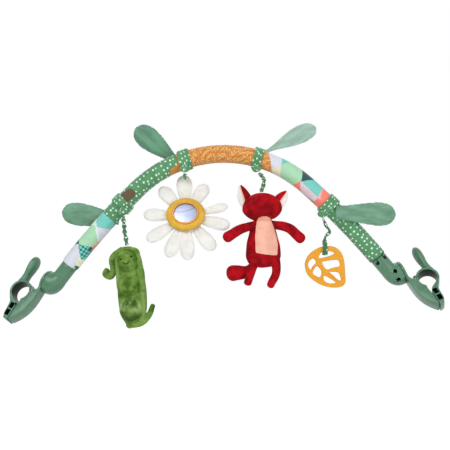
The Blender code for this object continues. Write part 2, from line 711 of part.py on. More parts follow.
def build_elbow(side):
    """Two half shells, split on the arch's plane and held by four screws."""
    hub = empty(f"elbow_{side}_place", elbow_place(side))
    hollow = elbow_loft(f"elbow_{side}_hollow", ELBOW_WALL, (3, ELBOW_END_WALL), hub)
    posts = []
    for n, middle in enumerate(screw_places()):
        here = Matrix.Translation(middle)
        deep = DISC_RADIUS + OVERRUN
        posts.append(turned(f"elbow_{side}_post_{n + 1}", ((-deep, SCREW_POST_RADIUS), (deep, SCREW_POST_RADIUS)),
                            SCREW_SIDES, parent=hub, matrix=here))
    cut(hollow, *posts[2:])
    heading = CROWN_HALF_ANGLE + LEG_TURN
    rod_bore = turned(f"elbow_{side}_rod_bore",
                      ((-NECK_TUCK - OVERRUN, CORE_RADIUS + SEAT_GAP), (ROD_END + GAP, CORE_RADIUS + SEAT_GAP)),
                      ARCH_SIDES, parent=hub, matrix=Matrix.Rotation(heading, 4, "Y") @ Matrix.Rotation(-math.pi / 2, 4, "Z"))
    centre, bend, _ = elbow_stations()[-1]
    out_of_disc = Matrix.Translation(centre) @ Matrix.Rotation(-bend, 4, "Y") @ Matrix.Rotation(-math.pi / 2, 4, "Z")
    stem_bore = turned(f"elbow_{side}_stem_bore",
                       ((-ELBOW_END_WALL - OVERRUN / 2, STEM_RADIUS + RUNNING_GAP),
                        (OVERRUN, STEM_RADIUS + RUNNING_GAP)), ROUND_SIDES, parent=hub, matrix=out_of_disc)
    holes = []
    for n, middle in enumerate(screw_places()):
        bore = SCREW_SHANK_RADIUS + SEAT_GAP
        well = SCREW_HEAD_RADIUS + SEAT_GAP
        profile = ((-DISC_RADIUS - OVERRUN, well), (-SCREW_SEAT, well), (-SCREW_SEAT, bore), (SCREW_REACH + GAP, bore))
        holes.append(turned(f"elbow_{side}_well_{n + 1}", profile, SCREW_SIDES, parent=hub,
                            matrix=Matrix.Translation(middle)))
    size = NECK_LENGTH + NECK_TUCK + DISC_RADIUS + DISC_RADIUS
    square = ((-size, -size), (size, -size), (size, size), (-size, size))
    for part, low, high in (("front", -SEAT_GAP / 2, size), ("back", -size, SEAT_GAP / 2)):
        name = f"elbow_{side}_{part}"
        shell = elbow_loft(name, 0, (0, 0), hub)
        shell.hide_render = False
        shell.display_type = "TEXTURED"
        shell.data.materials.append(plastic(name))
        half = prism(f"{name}_half", square, low, high, parent=hub)
        cut(shell, hollow, rod_bore, stem_bore, *holes, half)
    for n, middle in enumerate(screw_places()):
        name = f"elbow_{side}_screw_{n + 1}"
        top = -SCREW_SEAT - SEAT_GAP - SCREW_HEAD_HEIGHT
        seat = -SCREW_SEAT - SEAT_GAP
        profile = ((top, SCREW_HEAD_RADIUS), (seat, SCREW_HEAD_RADIUS), (seat, SCREW_SHANK_RADIUS),
                   (SCREW_REACH - SCREW_SHANK_RADIUS, SCREW_SHANK_RADIUS), (SCREW_REACH, SCREW_SHANK_RADIUS / 3))
        turned(name, profile, SCREW_SIDES, steel(name), hub, Matrix.Translation(middle))


def clip_place(side):
    """Frame of a clip: local X out along the swivel, local Z up from the jaws, turned as stored."""
    sense = -1 if side == "right" else 1
    swivel = Matrix.Rotation(sense * CLIP_TURNS[side], 4, "X")
    return elbow_place(side) @ disc_frame() @ swivel


def bore_point(angle, radius):
    """Point at an angle round the clip's bore, measured from outward towards the tips."""
    return (BORE_OUT + radius * math.cos(angle), -BORE_DOWN - radius * math.sin(angle))


def arm_outline():
    face = RUNNING_GAP
    outer = [(face + (TIP_OUT - face) * out, -ARM_REACH * down) for out, down in ARM_OUTER_SHARES]
    inner = [(TIP_OUT * out, -ARM_REACH * down) for out, down in ARM_INNER_SHARES]
    bore = [bore_point(angle, BORE_RADIUS) for angle in ARM_BORE_ANGLES]
    back = [(PIVOT_OUT - KNUCKLE_RADIUS, -PIVOT_DOWN), (PLATE_THICKNESS, -CLIP_DISC_RADIUS), (PLATE_THICKNESS, 0)]
    return [(face, 0)] + outer + inner + bore + back


def jaw_outline():
    outer_radius = BORE_RADIUS + RING_WALL
    steps = range(RING_STEPS + 1)
    ring = [bore_point(RING_START + (RING_OUTER_END - RING_START) * n / RING_STEPS, outer_radius) for n in steps]
    bore = [bore_point(RING_INNER_END + (RING_START - RING_INNER_END) * n / RING_STEPS, BORE_RADIUS) for n in steps]
    inner_face = TIP_OUT + TIP_GAP
    outer = [(inner_face + JAW_THICKNESS * out, -ARM_REACH * down) for out, down in JAW_OUTER_SHARES]
    inner = [(inner_face + JAW_THICKNESS * out, -ARM_REACH * down) for out, down in JAW_INNER_SHARES]
    return ring + outer + inner + bore


def across_pin(low, high, radius):
    return ((low, radius), (high, radius))


def clip_pivot():
    return Matrix.Translation((PIVOT_OUT, 0, -PIVOT_DOWN))


def build_pin_bore(name, hub):
    reach = CLIP_WIDTH / 2 + OVERRUN
    return turned(name, across_pin(-reach, reach, PIN_RADIUS + SEAT_GAP), PIN_SIDES, parent=hub, matrix=clip_pivot())


def build_clip(side):
    """A fixed arm that swivels on the elbow, and a sprung jaw with the ring and the thumb lever."""
    hub = empty(f"clip_{side}_swivel", clip_place(side))
    build_arm(side, hub)
    hang_on(f"clip_{side}_jaw_hinge", clip_pivot(), build_jaw, side, hub, parent=hub)
    build_spring(side, hub)


def build_arm(side, hub):
    half = CLIP_WIDTH / 2
    arm = prism(f"clip_{side}_arm", arm_outline(), -half, half, plastic(f"clip_{side}_arm"), hub)
    stem_end = -ELBOW_END_WALL - SEAT_GAP
    rest = ((stem_end - FLANGE_HEIGHT, FLANGE_RADIUS), (stem_end, FLANGE_RADIUS), (stem_end, STEM_RADIUS),
            (RUNNING_GAP, STEM_RADIUS), (RUNNING_GAP, CLIP_DISC_RADIUS), (PLATE_THICKNESS, CLIP_DISC_RADIUS))
    to_x = Matrix.Rotation(-math.pi / 2, 4, "Z")
    disc = turned(f"clip_{side}_disc", rest, ROUND_SIDES, parent=hub, matrix=to_x)
    pivot = clip_pivot()
    lug_low = half - LUG_WIDTH
    lugs = [turned(f"clip_{side}_lug_{n}", across_pin(*span, KNUCKLE_RADIUS), KNUCKLE_SIDES, parent=hub, matrix=pivot)
            for n, span in enumerate(((-half, -lug_low), (lug_low, half)))]
    join(arm, disc, *lugs)
    clear = KNUCKLE_RADIUS + KNUCKLE_CLEARANCE
    slot = turned(f"clip_{side}_slot", across_pin(-lug_low, lug_low, clear), KNUCKLE_SIDES, parent=hub, matrix=pivot)
    cut(arm, slot, build_pin_bore(f"clip_{side}_pin_bore", hub))
    turned(f"clip_{side}_pin", across_pin(-half + SEAT_GAP, half - SEAT_GAP, PIN_RADIUS), PIN_SIDES,
           steel(f"clip_{side}_pin"), hub, pivot)


def knuckle_span():
    """Where the jaw's knuckle starts and ends along the pin; the spring fills the rest, up to the far lug."""
    start = LUG_WIDTH - CLIP_WIDTH / 2 + GAP
    return start, start + KNUCKLE_WIDTH


def build_jaw(side, hub):
    half = CLIP_WIDTH / 2
    low, high = knuckle_span()
    pivot = clip_pivot()
    jaw = prism(f"clip_{side}_jaw", jaw_outline(), -half, half, plastic(f"clip_{side}_jaw"), hub)
    knuckle = turned(f"clip_{side}_knuckle", across_pin(low, high, KNUCKLE_RADIUS), KNUCKLE_SIDES, parent=hub,
                     matrix=pivot)
    join(jaw, lever(side, hub), knuckle)
    clear = KNUCKLE_RADIUS + KNUCKLE_CLEARANCE
    rooms = [turned(f"clip_{side}_room_{n}", across_pin(*span, clear), KNUCKLE_SIDES, parent=hub, matrix=pivot)
             for n, span in enumerate(((-half - OVERRUN, low), (high, half + OVERRUN)))]
    cut(jaw, build_pin_bore(f"clip_{side}_jaw_bore", hub), *rooms, *pockets(side, hub))


def lever(side, hub):
    """Leaf-shaped thumb lever, rooted in the ring's top."""
    root = Vector(bore_point(LEVER_ROOT_ANGLE, BORE_RADIUS + LEVER_SINK)).to_3d().xzy
    along = Vector((math.sin(LEVER_LEAN), 0, math.cos(LEVER_LEAN)))
    across = Vector((math.cos(LEVER_LEAN), 0, -math.sin(LEVER_LEAN)))
    table = zip(LEVER_RUN_SHARES, LEVER_WIDTH_SHARES, LEVER_DEPTH_SHARES)
    rings = [ring_points(root + along * LEVER_LENGTH * run, across, Vector((0, 1, 0)), LEVER_HALF_WIDTH * width,
                         LEVER_HALF_DEPTH * deep, LEVER_SIDES) for run, width, deep in table]
    return loft(f"clip_{side}_lever", rings, parent=hub)


def pockets(side, hub):
    """Two coring pockets in each side of the jaw, with a rib between them and a web down the middle."""
    half = CLIP_WIDTH / 2
    low_x = TIP_OUT + TIP_GAP + POCKET_WALL
    high_x = TIP_OUT + TIP_GAP + JAW_THICKNESS - POCKET_WALL
    found = []
    for row in range(2):
        top = -POCKET_DOWN - row * (POCKET_LENGTH + POCKET_RIB)
        box = ((low_x, top), (high_x, top), (high_x, top - POCKET_LENGTH), (low_x, top - POCKET_LENGTH))
        for low, high in ((-half - OVERRUN, -half + POCKET_DEPTH), (half - POCKET_DEPTH, half + OVERRUN)):
            found.append(prism(f"clip_{side}_pocket_{len(found)}", box, low, high, parent=hub))
    return found


def build_spring(side, hub):
    """Torsion spring round the pin, beside the jaw's knuckle, with one leg on the plate and one by the ring."""
    low = knuckle_span()[1]
    high = CLIP_WIDTH / 2 - LUG_WIDTH
    first = low + GAP + WIRE_RADIUS
    pitch = (high - GAP - WIRE_RADIUS - first) / COIL_TURNS
    points = [Vector((PIVOT_OUT - COIL_RADIUS, first, -PIVOT_DOWN + SPRING_LEG))]
    for n in range(COIL_TURNS * COIL_POINTS_PER_TURN + 1):
        turn = 2 * math.pi * n / COIL_POINTS_PER_TURN
        points.append(Vector((PIVOT_OUT - COIL_RADIUS * math.cos(turn), first + pitch * n / COIL_POINTS_PER_TURN,
                              -PIVOT_DOWN - COIL_RADIUS * math.sin(turn))))
    tip = points[-1] + Vector((SPRING_LEG / 6, 0, SPRING_LEG * 0.8))
    points.append(tip)
    name = f"clip_{side}_spring"
    curve = bpy.data.curves.new(name, "CURVE")
    curve.dimensions = "3D"
    curve.bevel_depth = WIRE_RADIUS
    curve.bevel_resolution = 1
    curve.use_fill_caps = True
    spline = curve.splines.new("POLY")
    spline.points.add(len(points) - 1)
    for spot, point in zip(spline.points, points):
        spot.co = (*point, 1)
    curve.materials.append(steel(name))
    spring = bpy.data.objects.new(name, curve)
    bpy.context.scene.collection.objects.link(spring)
    spring.parent = hub


def build_tail(name, index, places):
    """A twisted tail of ribbon that hangs from a knot to its toy."""
    knot = knot_centre(index)
    points = [knot + Vector((out, 0, -down)) for out, down in places]
    return limb(name, points, (TAIL_RADIUS, TAIL_RADIUS), cloth(name, DOTTED_FABRIC), sides=TAIL_SIDES, steps=2,
                flat=TAIL_FLAT_SHARE)


def petal(name, index, parent, grow=0.0):
    """One padded petal, a little before or behind the daisy's own plane."""
    angle = PETAL_ANGLES[index]
    reach = PETAL_REACH * PETAL_REACH_SHARES[index]
    along = Vector((math.cos(angle), 0, math.sin(angle)))
    across = along.cross(Vector((0, 1, 0)))
    root = along * PETAL_ROOT + Vector((0, PETAL_OFFSET * (index % 3 - 1), 0))
    table = zip(PETAL_RUN_SHARES, PETAL_WIDTH_SHARES, PETAL_THICKNESS_SHARES)
    rings = [ring_points(root + along * (reach - PETAL_ROOT + grow) * run, across, Vector((0, 1, 0)),
                         PETAL_HALF_WIDTH * width + grow, PETAL_HALF_THICKNESS * thick + grow, PETAL_SIDES)
             for run, width, thick in table]
    return loft(name, rings, parent=parent)


def daisy_centre():
    return knot_centre(1) + Vector((LOOP_SIDE, 0, -DAISY_DROP))


def build_daisy():
    hub = empty("daisy_place", Matrix.Translation(daisy_centre()) @ Matrix.Rotation(-DAISY_LEAN, 4, "X"))
    edge = HUB_HALF_THICKNESS
    flower = turned("daisy_petals", ((-edge, HUB_RADIUS * 0.93), (-edge * 0.4, HUB_RADIUS), (edge * 0.4, HUB_RADIUS),
                                     (edge, HUB_RADIUS * 0.93)), ROUND_SIDES, cloth("daisy_petals", WHITE_PLUSH), hub)
    for index in range(len(PETAL_ANGLES)):
        join(flower, petal(f"daisy_petal_{index + 1}", index, hub))
    back = -max(PETAL_HALF_THICKNESS + PETAL_OFFSET, HUB_HALF_THICKNESS) - SEAT_GAP
    hole = MIRROR_RADIUS + SEAT_GAP
    middle = (RING_RADIUS + hole) / 2
    front = back - RING_HEIGHT
    ring = ((back, hole), (back, RING_RADIUS * 0.93), (back - RING_HEIGHT * 0.35, RING_RADIUS),
            (front + RING_LIP, middle + RING_LIP), (front, middle - RING_LIP), (front + RING_LIP, hole))
    turned("daisy_ring", ring, ROUND_SIDES, cloth("daisy_ring", YELLOW_FABRIC), hub, oval=OVAL_SHARE, hollow=True)
    glass = front + MIRROR_RECESS
    turned("daisy_mirror", ((glass, MIRROR_RADIUS), (glass + MIRROR_THICKNESS, MIRROR_RADIUS)), ROUND_SIDES,
           material("daisy_mirror", MIRROR_FILM, 0.08, 1.0), hub, oval=OVAL_SHARE)
    behind = -back
    turned("daisy_back", ((behind, BACK_PAD_RADIUS), (behind + BACK_PAD_HEIGHT * 0.6, BACK_PAD_RADIUS * 0.98),
                          (behind + BACK_PAD_HEIGHT, BACK_PAD_RADIUS * 0.80)), ROUND_SIDES,
           cloth("daisy_back", WHITE_PLUSH), hub)
    knot = knot_centre(1)
    top = knot + Vector((0, 0, -KNOT_RADIUS - KNOT_SKIP - TAIL_RADIUS))
    low = knot + Vector((LOOP_SIDE, LOOP_BACK, -LOOP_DROP))
    mid = (top + low) / 2 + Vector((0, 0, -TAIL_RADIUS / 2))
    loop = limb("daisy_loop", (top, mid, low), (TAIL_RADIUS, TAIL_RADIUS), cloth("daisy_loop", DOTTED_FABRIC),
                sides=TAIL_SIDES, steps=3)
    cut(loop, petal("daisy_loop_seat", 0, hub, GAP))


def fox_rings(centre, grow):
    table = zip(FOX_BODY_RUN_SHARES, FOX_BODY_WIDTH_SHARES, FOX_BODY_DEPTH_SHARES)
    rings = []
    for run, width, depth in table:
        end = grow if run == 0 else -grow if run == 1 else 0
        middle = centre + Vector((0, 0, -FOX_BODY_TOP - FOX_BODY_LENGTH * run + end))
        rings.append(ring_points(middle, Vector((1, 0, 0)), Vector((0, 1, 0)), FOX_BODY_HALF_WIDTH * width + grow,
                                 FOX_BODY_HALF_DEPTH * depth + grow, PLUSH_SIDES))
    return rings


def fox_top():
    """Where the fox's head meets its tail of ribbon."""
    drop = FOX_TAIL[-1][1]
    return knot_centre(2) + Vector((FOX_HEAD_SIDE, 0, -drop - TAIL_RADIUS - SEAT_GAP))


def fox_centre():
    return fox_top() - Vector((0, 0, FOX_HEAD[2]))


def ear(name, centre, side, finish=None):
    """A flat padded ear, pointed at the top."""
    base, tip = (centre + Vector((x, 0, z)) * FOX_SIZE for x, z in (EAR_BASE_SHARES[side], EAR_TIP_SHARES[side]))
    across = (tip - base).normalized().cross(Vector((0, 1, 0)))
    rings = [ring_points(base.lerp(tip, run), across, Vector((0, 1, 0)), EAR_HALF_WIDTH * width,
                         EAR_HALF_THICKNESS * thick, 8)
             for run, width, thick in ((0, 0.85, 1.0), (0.35, 1.0, 1.0), (0.62, 0.80, 0.9), (0.85, 0.40, 0.7),
                                       (1, 0.10, 0.35))]
    return loft(name, rings, finish)


def build_fox():
    centre = fox_centre()
    red = cloth("fox plush", RED_PLUSH)
    body = loft("fox_body", fox_rings(centre, 0), red)
    body_room = loft("fox_body_room", fox_rings(centre, SEAT_GAP))
    head = ball("fox_head", centre, FOX_HEAD, red, segments=16, rings=10)
    head_room = ball("fox_head_room", centre, FOX_HEAD, grow=SEAT_GAP, segments=16, rings=10)
    cut(head, body_room)
    skin = BELLY_WALL + SEAT_GAP
    patch = loft("fox_belly", fox_rings(centre, skin), cloth("fox_belly", PEACH_PLUSH))
    shape = [(centre.x + FOX_BODY_HALF_WIDTH * side, centre.z - FOX_BODY_LENGTH * down)
             for side, down in BELLY_OUTLINE_SHARES]
    window = prism("fox_belly_window", shape, centre.y - FOX_BODY_HALF_DEPTH - OVERRUN, centre.y)
    boolean(patch, window, "INTERSECT")
    cut(patch, body_room, head_room)
    for side in ("left", "right"):
        cut(ear(f"fox_ear_{side}", centre, side, red), head_room)
        arm = [centre + Vector(p) * FOX_SIZE for p in ARM_PATH_SHARES[side]]
        arm_radii = (ARM_THICKNESS * 0.9, ARM_THICKNESS * 1.1)
        cut(limb(f"fox_arm_{side}", arm, arm_radii, red), body_room, head_room)
        cut(patch, limb(f"fox_arm_{side}_room", arm, arm_radii, grow=SEAT_GAP))
        leg = [centre + Vector(p) * FOX_SIZE for p in LEG_PATH_SHARES[side]]
        cut(limb(f"fox_leg_{side}", leg, (LEG_THICKNESS, LEG_THICKNESS * 0.95), red), body_room)
    tail = limb("fox_tail", [centre + Vector(p) * FOX_SIZE for p in TAIL_PATH_SHARES], (TAIL_ROOT, TAIL_BULB), red, sides=10)
    left_leg = [centre + Vector(p) * FOX_SIZE for p in LEG_PATH_SHARES["left"]]
    leg_room = limb("fox_leg_room", left_leg, (LEG_THICKNESS, LEG_THICKNESS * 0.95), grow=SEAT_GAP)
    cut(tail, body_room, leg_room)


def pea_top():
    side, drop = PEA_TAIL[-1]
    return knot_centre(0) + Vector((side, 0, -drop - TAIL_RADIUS - SEAT_GAP))


def pod_rings(top, grow):
    rings = []
    for run, width in zip(POD_RUN_SHARES, POD_WIDTH_SHARES):
        end = grow if run == 0 else -grow if run == 1 else 0
        shift = POD_SIDE * math.sin(run * math.pi / 2)
        middle = top + Vector((shift, POD_BACK, -POD_LENGTH * run + end))
        rings.append(ring_points(middle, Vector((1, 0, 0)), Vector((0, 1, 0)), POD_HALF_WIDTH * width + grow,
                                 POD_HALF_DEPTH * width + grow, PLUSH_SIDES))
    return rings


def build_pea():
    top = pea_top()
    green = cloth("pea plush", PEA_PLUSH)
    pod = loft("pea_pod", pod_rings(top, 0), green)
    pod_room = loft("pea_pod_room", pod_rings(top, SEAT_GAP))
    rooms = []
    for n, (share, drop, side) in enumerate(zip(PEA_RADIUS_SHARES, PEA_DROP_SHARES, PEA_SIDE_SHARES)):
        name = ("pea_top", "pea_middle", "pea_bottom")[n]
        radius = POD_HALF_WIDTH * share
        centre = top + Vector((POD_HALF_WIDTH * side, -PEA_FRONT, -POD_LENGTH * drop))
        ball(name, centre, (radius, radius, radius), green, segments=12, rings=8)
        rooms.append(ball(f"{name}_room", centre, (radius, radius, radius), grow=SEAT_GAP, segments=12, rings=8))
    cut(pod, *rooms)
    curl_path = [top + Vector(p) * POD_LENGTH + Vector((0, POD_BACK, 0)) for p in CURL_PATH_SHARES]
    curl = limb("pea_curl", curl_path, (CURL_THICKNESS, CURL_END), green, steps=2)
    cut(curl, pod_room, rooms[0])
    stem = limb("pea_stem", [top + Vector(p) * POD_LENGTH for p in STEM_PATH_SHARES], (STEM_THICKNESS, STEM_TIP), green, steps=2)
    cut(stem, pod_room, rooms[2])


def teether_hang():
    """Place in the teether's top opening that its ribbon passes through."""
    side, drop = TEETHER_HANG
    return knot_centre(3) + Vector((side, 0, -drop))


def teether_rim():
    """Top of the teether's rim, in the middle of its ribbon."""
    return teether_hang() + Vector((0, 0, TEETHER_HEIGHT * (1 - TEETHER_HANG_SHARES[1])))


def teether_corner():
    """Lower left corner of the teether's box, hung by its top opening."""
    hang_across, hang_up = TEETHER_HANG_SHARES
    return teether_hang() - Vector((hang_across * TEETHER_WIDTH, 0, hang_up * TEETHER_HEIGHT))


def build_teether():
    """A flat leaf moulded in one piece, with openings between its veins."""
    curve = bpy.data.curves.new("teether", "CURVE")
    curve.dimensions = "2D"
    curve.fill_mode = "BOTH"
    curve.extrude = TEETHER_THICKNESS / 2 - TEETHER_BEVEL
    curve.bevel_depth = TEETHER_BEVEL
    curve.bevel_resolution = 0
    for outline in (TEETHER_OUTLINE_SHARES, *TEETHER_OPENING_SHARES):
        spline = curve.splines.new("POLY")
        spline.use_cyclic_u = True
        spline.points.add(len(outline) - 1)
        for spot, (across, up) in zip(spline.points, outline):
            spot.co = (across * TEETHER_WIDTH, up * TEETHER_HEIGHT, 0, 1)
    curve.materials.append(material("teether", TEETHER_SILICONE, 0.45))
    obj = bpy.data.objects.new("teether", curve)
    bpy.context.scene.collection.objects.link(obj)
    obj.location = teether_corner()
    obj.rotation_euler = (math.pi / 2, 0, 0)


def build_teether_tail():
    """The tail goes round the teether's top rim, through its top opening."""
    knot = knot_centre(3)
    reach = TEETHER_THICKNESS / 2 + GAP + TAIL_RADIUS * TAIL_FLAT_SHARE
    hang, rim = teether_hang(), teether_rim()
    front, behind = Vector((0, -reach, 0)), Vector((0, reach, 0))
    points = [knot + Vector((out, 0, -down)) for out, down in TEETHER_TAIL]
    points += [rim + front, hang + front, hang, hang + behind, rim + behind]
    limb("tail_teether", points, (TAIL_RADIUS, TAIL_RADIUS), cloth("tail_teether", DOTTED_FABRIC), sides=TAIL_SIDES,
         steps=2, flat=TAIL_FLAT_SHARE, upright="X")


def main():
    clear_scene()
    build_arch()
    for side in ("left", "right"):
        build_elbow(side)
        build_clip(side)
    for index in range(len(TIE_PLACE_SHARES)):
        build_tie(index)
    build_leaves()
    knots = [Matrix.Translation(knot_centre(index)) for index in range(len(TIE_PLACE_SHARES))]
    hang_on("pea_strap_swing", knots[0], build_tail, "tail_pea", 0, PEA_TAIL)
    hang_on("pea_sway", Matrix.Translation(pea_top()), build_pea)
    hang_on("daisy_swing", knots[1], build_daisy)
    hang_on("fox_strap_swing", knots[2], build_tail, "tail_fox", 2, FOX_TAIL)
    hang_on("fox_sway", Matrix.Translation(fox_top()), build_fox)
    hang_on("teether_strap_swing", knots[3], build_teether_tail)
    hang_on("teether_sway", Matrix.Translation(teether_rim()), build_teether)


main()
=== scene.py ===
"""Baby play arch: the finish of every surface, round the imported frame.

Run as a script. The frame's bodies carry every piece; metres, +Z up, the child's side is -Z.
"""

import json
import math

import bmesh
import bpy
from bpy.props import FloatProperty, FloatVectorProperty, IntProperty, PointerProperty
from mathutils import Matrix, Vector, noise

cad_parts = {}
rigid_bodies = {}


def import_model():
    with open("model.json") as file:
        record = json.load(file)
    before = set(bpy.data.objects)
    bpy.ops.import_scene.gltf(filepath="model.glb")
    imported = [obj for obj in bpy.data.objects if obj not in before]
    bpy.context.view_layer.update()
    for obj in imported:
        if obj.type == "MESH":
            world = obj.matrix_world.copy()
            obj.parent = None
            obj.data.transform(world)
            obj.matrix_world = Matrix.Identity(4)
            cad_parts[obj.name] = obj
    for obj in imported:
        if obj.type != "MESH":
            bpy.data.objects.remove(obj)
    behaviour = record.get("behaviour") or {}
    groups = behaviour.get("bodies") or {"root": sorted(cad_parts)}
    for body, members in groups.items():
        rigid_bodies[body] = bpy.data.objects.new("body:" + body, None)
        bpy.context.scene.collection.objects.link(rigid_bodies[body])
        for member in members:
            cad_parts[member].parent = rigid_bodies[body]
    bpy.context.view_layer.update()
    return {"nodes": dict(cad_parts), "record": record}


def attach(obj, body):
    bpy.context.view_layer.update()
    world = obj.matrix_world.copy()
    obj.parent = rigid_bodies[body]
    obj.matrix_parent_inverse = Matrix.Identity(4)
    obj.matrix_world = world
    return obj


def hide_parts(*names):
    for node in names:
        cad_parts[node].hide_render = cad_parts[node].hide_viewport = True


bl_info = {
    "name": "Play Arch",
    "version": (1, 0, 0),
    "blender": (4, 5, 0),
    "location": "View3D > Sidebar > Play Arch",
    "description": "Builds a padded play arch with clips and hanging toys",
    "category": "Add Mesh",
}

for spare in list(bpy.data.objects):
    bpy.data.objects.remove(spare, do_unlink=True)

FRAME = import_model()
JOINTS = {joint["name"]: joint for joint in FRAME["record"]["behaviour"]["joints"]}
SIDES = ("left", "right")
X_AXIS, Y_AXIS, Z_AXIS = Vector((1, 0, 0)), Vector((0, 1, 0)), Vector((0, 0, 1))
SIDEWAYS = Matrix.Rotation(-math.pi / 2, 4, "Z")
GAP = 0.0003
WELD = 0.00005

# Stage: each lamp's place, turn in degrees, size and power
LAMPS = (
    ("Key lamp", (-0.55, -1.25, 1.05), (52, 0, -24), 0.9, 13.5),
    ("Fill lamp", (0.95, -1.15, 0.35), (76, 0, 40), 1.1, 6.4),
    ("Back lamp", (0.1, 1.0, 1.15), (-48, 0, 6), 0.9, 5.6),
)
WORLD_LIGHT = 0.46
FLOOR_HEIGHT = -0.32
FLOOR_GLOW = 0.56
CAMERA_PLACE = (0.0031, -0.9, 0.0708)
CAMERA_ROLL = math.radians(-1.5)
LENS = 53.33
SENSOR_WIDTH = 36.0

# Sleeve fabrics, as shares of half the arch's length from the crown
SLEEVE_CUT_SHARES = (-0.680, -0.222, 0.279, 0.656)
BROWN_PATCH_SHARE = -0.532
SLEEVE_WALL = 0.0010
CROWN_HALF_ANGLE = math.radians(43)
LEG_TURN = math.radians(8)

# Ties, knots and what hangs from them
TIE_SHARES = (-0.584, -0.187, 0.191, 0.634)
KNOT_ANGLES = (math.radians(33), math.radians(43), math.radians(57), math.radians(63))
KNOT_SHIFT_SHARES = (-0.40, -0.29, 0.12, 0.10)
BAND_WIDTH_SHARES = (0.92, 1.0, 0.80, 1.0)
KNOT_RADIUS = 0.0062
KNOT_SEAT_SHARE = 0.65
KNOT_TURNS = ((0.3, 0.2, 0.0046), (-0.7, 0.5, 0.0043), (1.2, -0.4, 0.0040))
PEA_TAIL = ((0.0000, 0.0066), (0.0002, 0.0110), (0.0010, 0.0200), (0.0014, 0.0275), (0.0030, 0.0370),
            (0.0039, 0.0452))
FOX_TAIL = ((0.0030, 0.0070), (0.0062, 0.0098), (0.0098, 0.0155), (0.0088, 0.0235), (0.0062, 0.0300),
            (0.0060, 0.0322))
TEETHER_TAIL = ((0.0006, 0.0066), (0.0020, 0.0098), (0.0044, 0.0162), (0.0090, 0.0240), (0.0035, 0.0303),
                (0.0020, 0.0368))
DAISY_LOOP = ((0.0030, 0.0074), (0.0090, 0.0112), (0.0152, 0.0132))
TEETHER_HANG = (0.0017, 0.0538)

# Leaves
LEAF_SHIFT_SHARES = (-0.241, -0.094, 0.061, 0.141)
LEAF_UP_SHARES = (-0.75, -0.15, 0.63, -0.18)
LEAF_BACK_SHARES = (1.0, 0.918, 0.80, -1.0)
LEAF_HEADINGS = (math.radians(170.5), math.radians(139.6), math.radians(25), math.radians(-3.6))
LEAF_ROLLS = (0, 0, math.radians(-32), 0)
LEAVES_OVER_TIES = (1, 2)
LEAF_RUN_SHARES = (0.0, 0.14, 0.32, 0.52, 0.72, 0.85, 0.93, 0.98, 1.0)
LEAF_WIDTH_SHARES = (
    (0.42, 0.56, 0.76, 0.94, 1.0, 0.90, 0.69, 0.38, 0.12),
    (0.26, 0.38, 0.62, 0.88, 1.0, 0.90, 0.69, 0.38, 0.12),
    (0.22, 0.28, 0.56, 0.86, 1.0, 0.90, 0.69, 0.38, 0.12),
    (0.60, 0.66, 0.78, 0.92, 1.0, 0.91, 0.70, 0.38, 0.12),
)
LEAF_CREASES = (0.10, 0.12, 0.08, 0.50)
LEAF_PALE_SHARES = (0.06, 0.0, 0.44, 0.08)

# Patches of the prints: colour, then corners as a run along the arch in mm and a share of the way down its front
PATCH_TINTS = {
    "lavender": (214, 217, 227), "lemon": (238, 240, 206), "navy": (52, 80, 86), "coral": (248, 134, 114),
    "mint": (168, 216, 178), "ice": (214, 232, 226), "teal": (118, 202, 190), "clay": (184, 166, 148),
    "cream": (232, 226, 198), "pink": (224, 204, 212), "orange": (208, 134, 62), "olive": (150, 134, 100),
}
LEFT_PATCHES = (
    ("lavender", ((-264, -0.25), (-234, -0.05), (-231.5, 0.30), (-244, 0.68))),
    ("lavender", ((-264, -0.25), (-244, 0.68), (-250, 0.80), (-264, 0.62))),
    ("lemon", ((-245, 0.62), (-242, 0.80), (-256, 1.30), (-256, 0.70))),
    ("check", ((-231, 0.27), (-223.5, 0.68), (-230, 1.08), (-246, 0.75))),
    ("navy", ((-229, 0.70), (-223.5, 0.70), (-224, 0.85), (-229, 0.84))),
    ("coral", ((-228, 0.86), (-219, 0.95), (-217, 1.30), (-230, 1.20))),
    ("navy", ((-239, 0.00), (-231.5, 0.29), (-226.5, 0.14), (-226, -0.20))),
    ("mint", ((-227, 0.10), (-203, -0.10), (-198, 0.39), (-211, 0.78))),
    ("mint", ((-227, 0.12), (-211, 0.78), (-222.5, 0.80), (-231, 0.34))),
    ("ice", ((-204, 0.02), (-189, -0.05), (-190, 0.14), (-197.5, 0.41))),
    ("ice", ((-199, 0.36), (-196.5, 0.42), (-211, 0.88), (-213, 0.80))),
    ("lavender", ((-197.5, 0.42), (-187, 1.00), (-202, 1.15), (-213, 0.88))),
    ("clay", ((-218, 0.87), (-204, 0.99), (-206, 1.30), (-222, 1.20))),
    ("teal", ((-190.5, 0.10), (-168, -0.25), (-168, 0.50), (-173, 0.76))),
    ("teal", ((-190.5, 0.10), (-173, 0.76), (-187, 1.00), (-197.5, 0.40))),
    ("navy", ((-204, 1.04), (-187, 0.95), (-187, 1.40), (-204, 1.40))),
    ("navy", ((-187, 0.95), (-168, 0.80), (-168, 1.40), (-187, 1.40))),
)
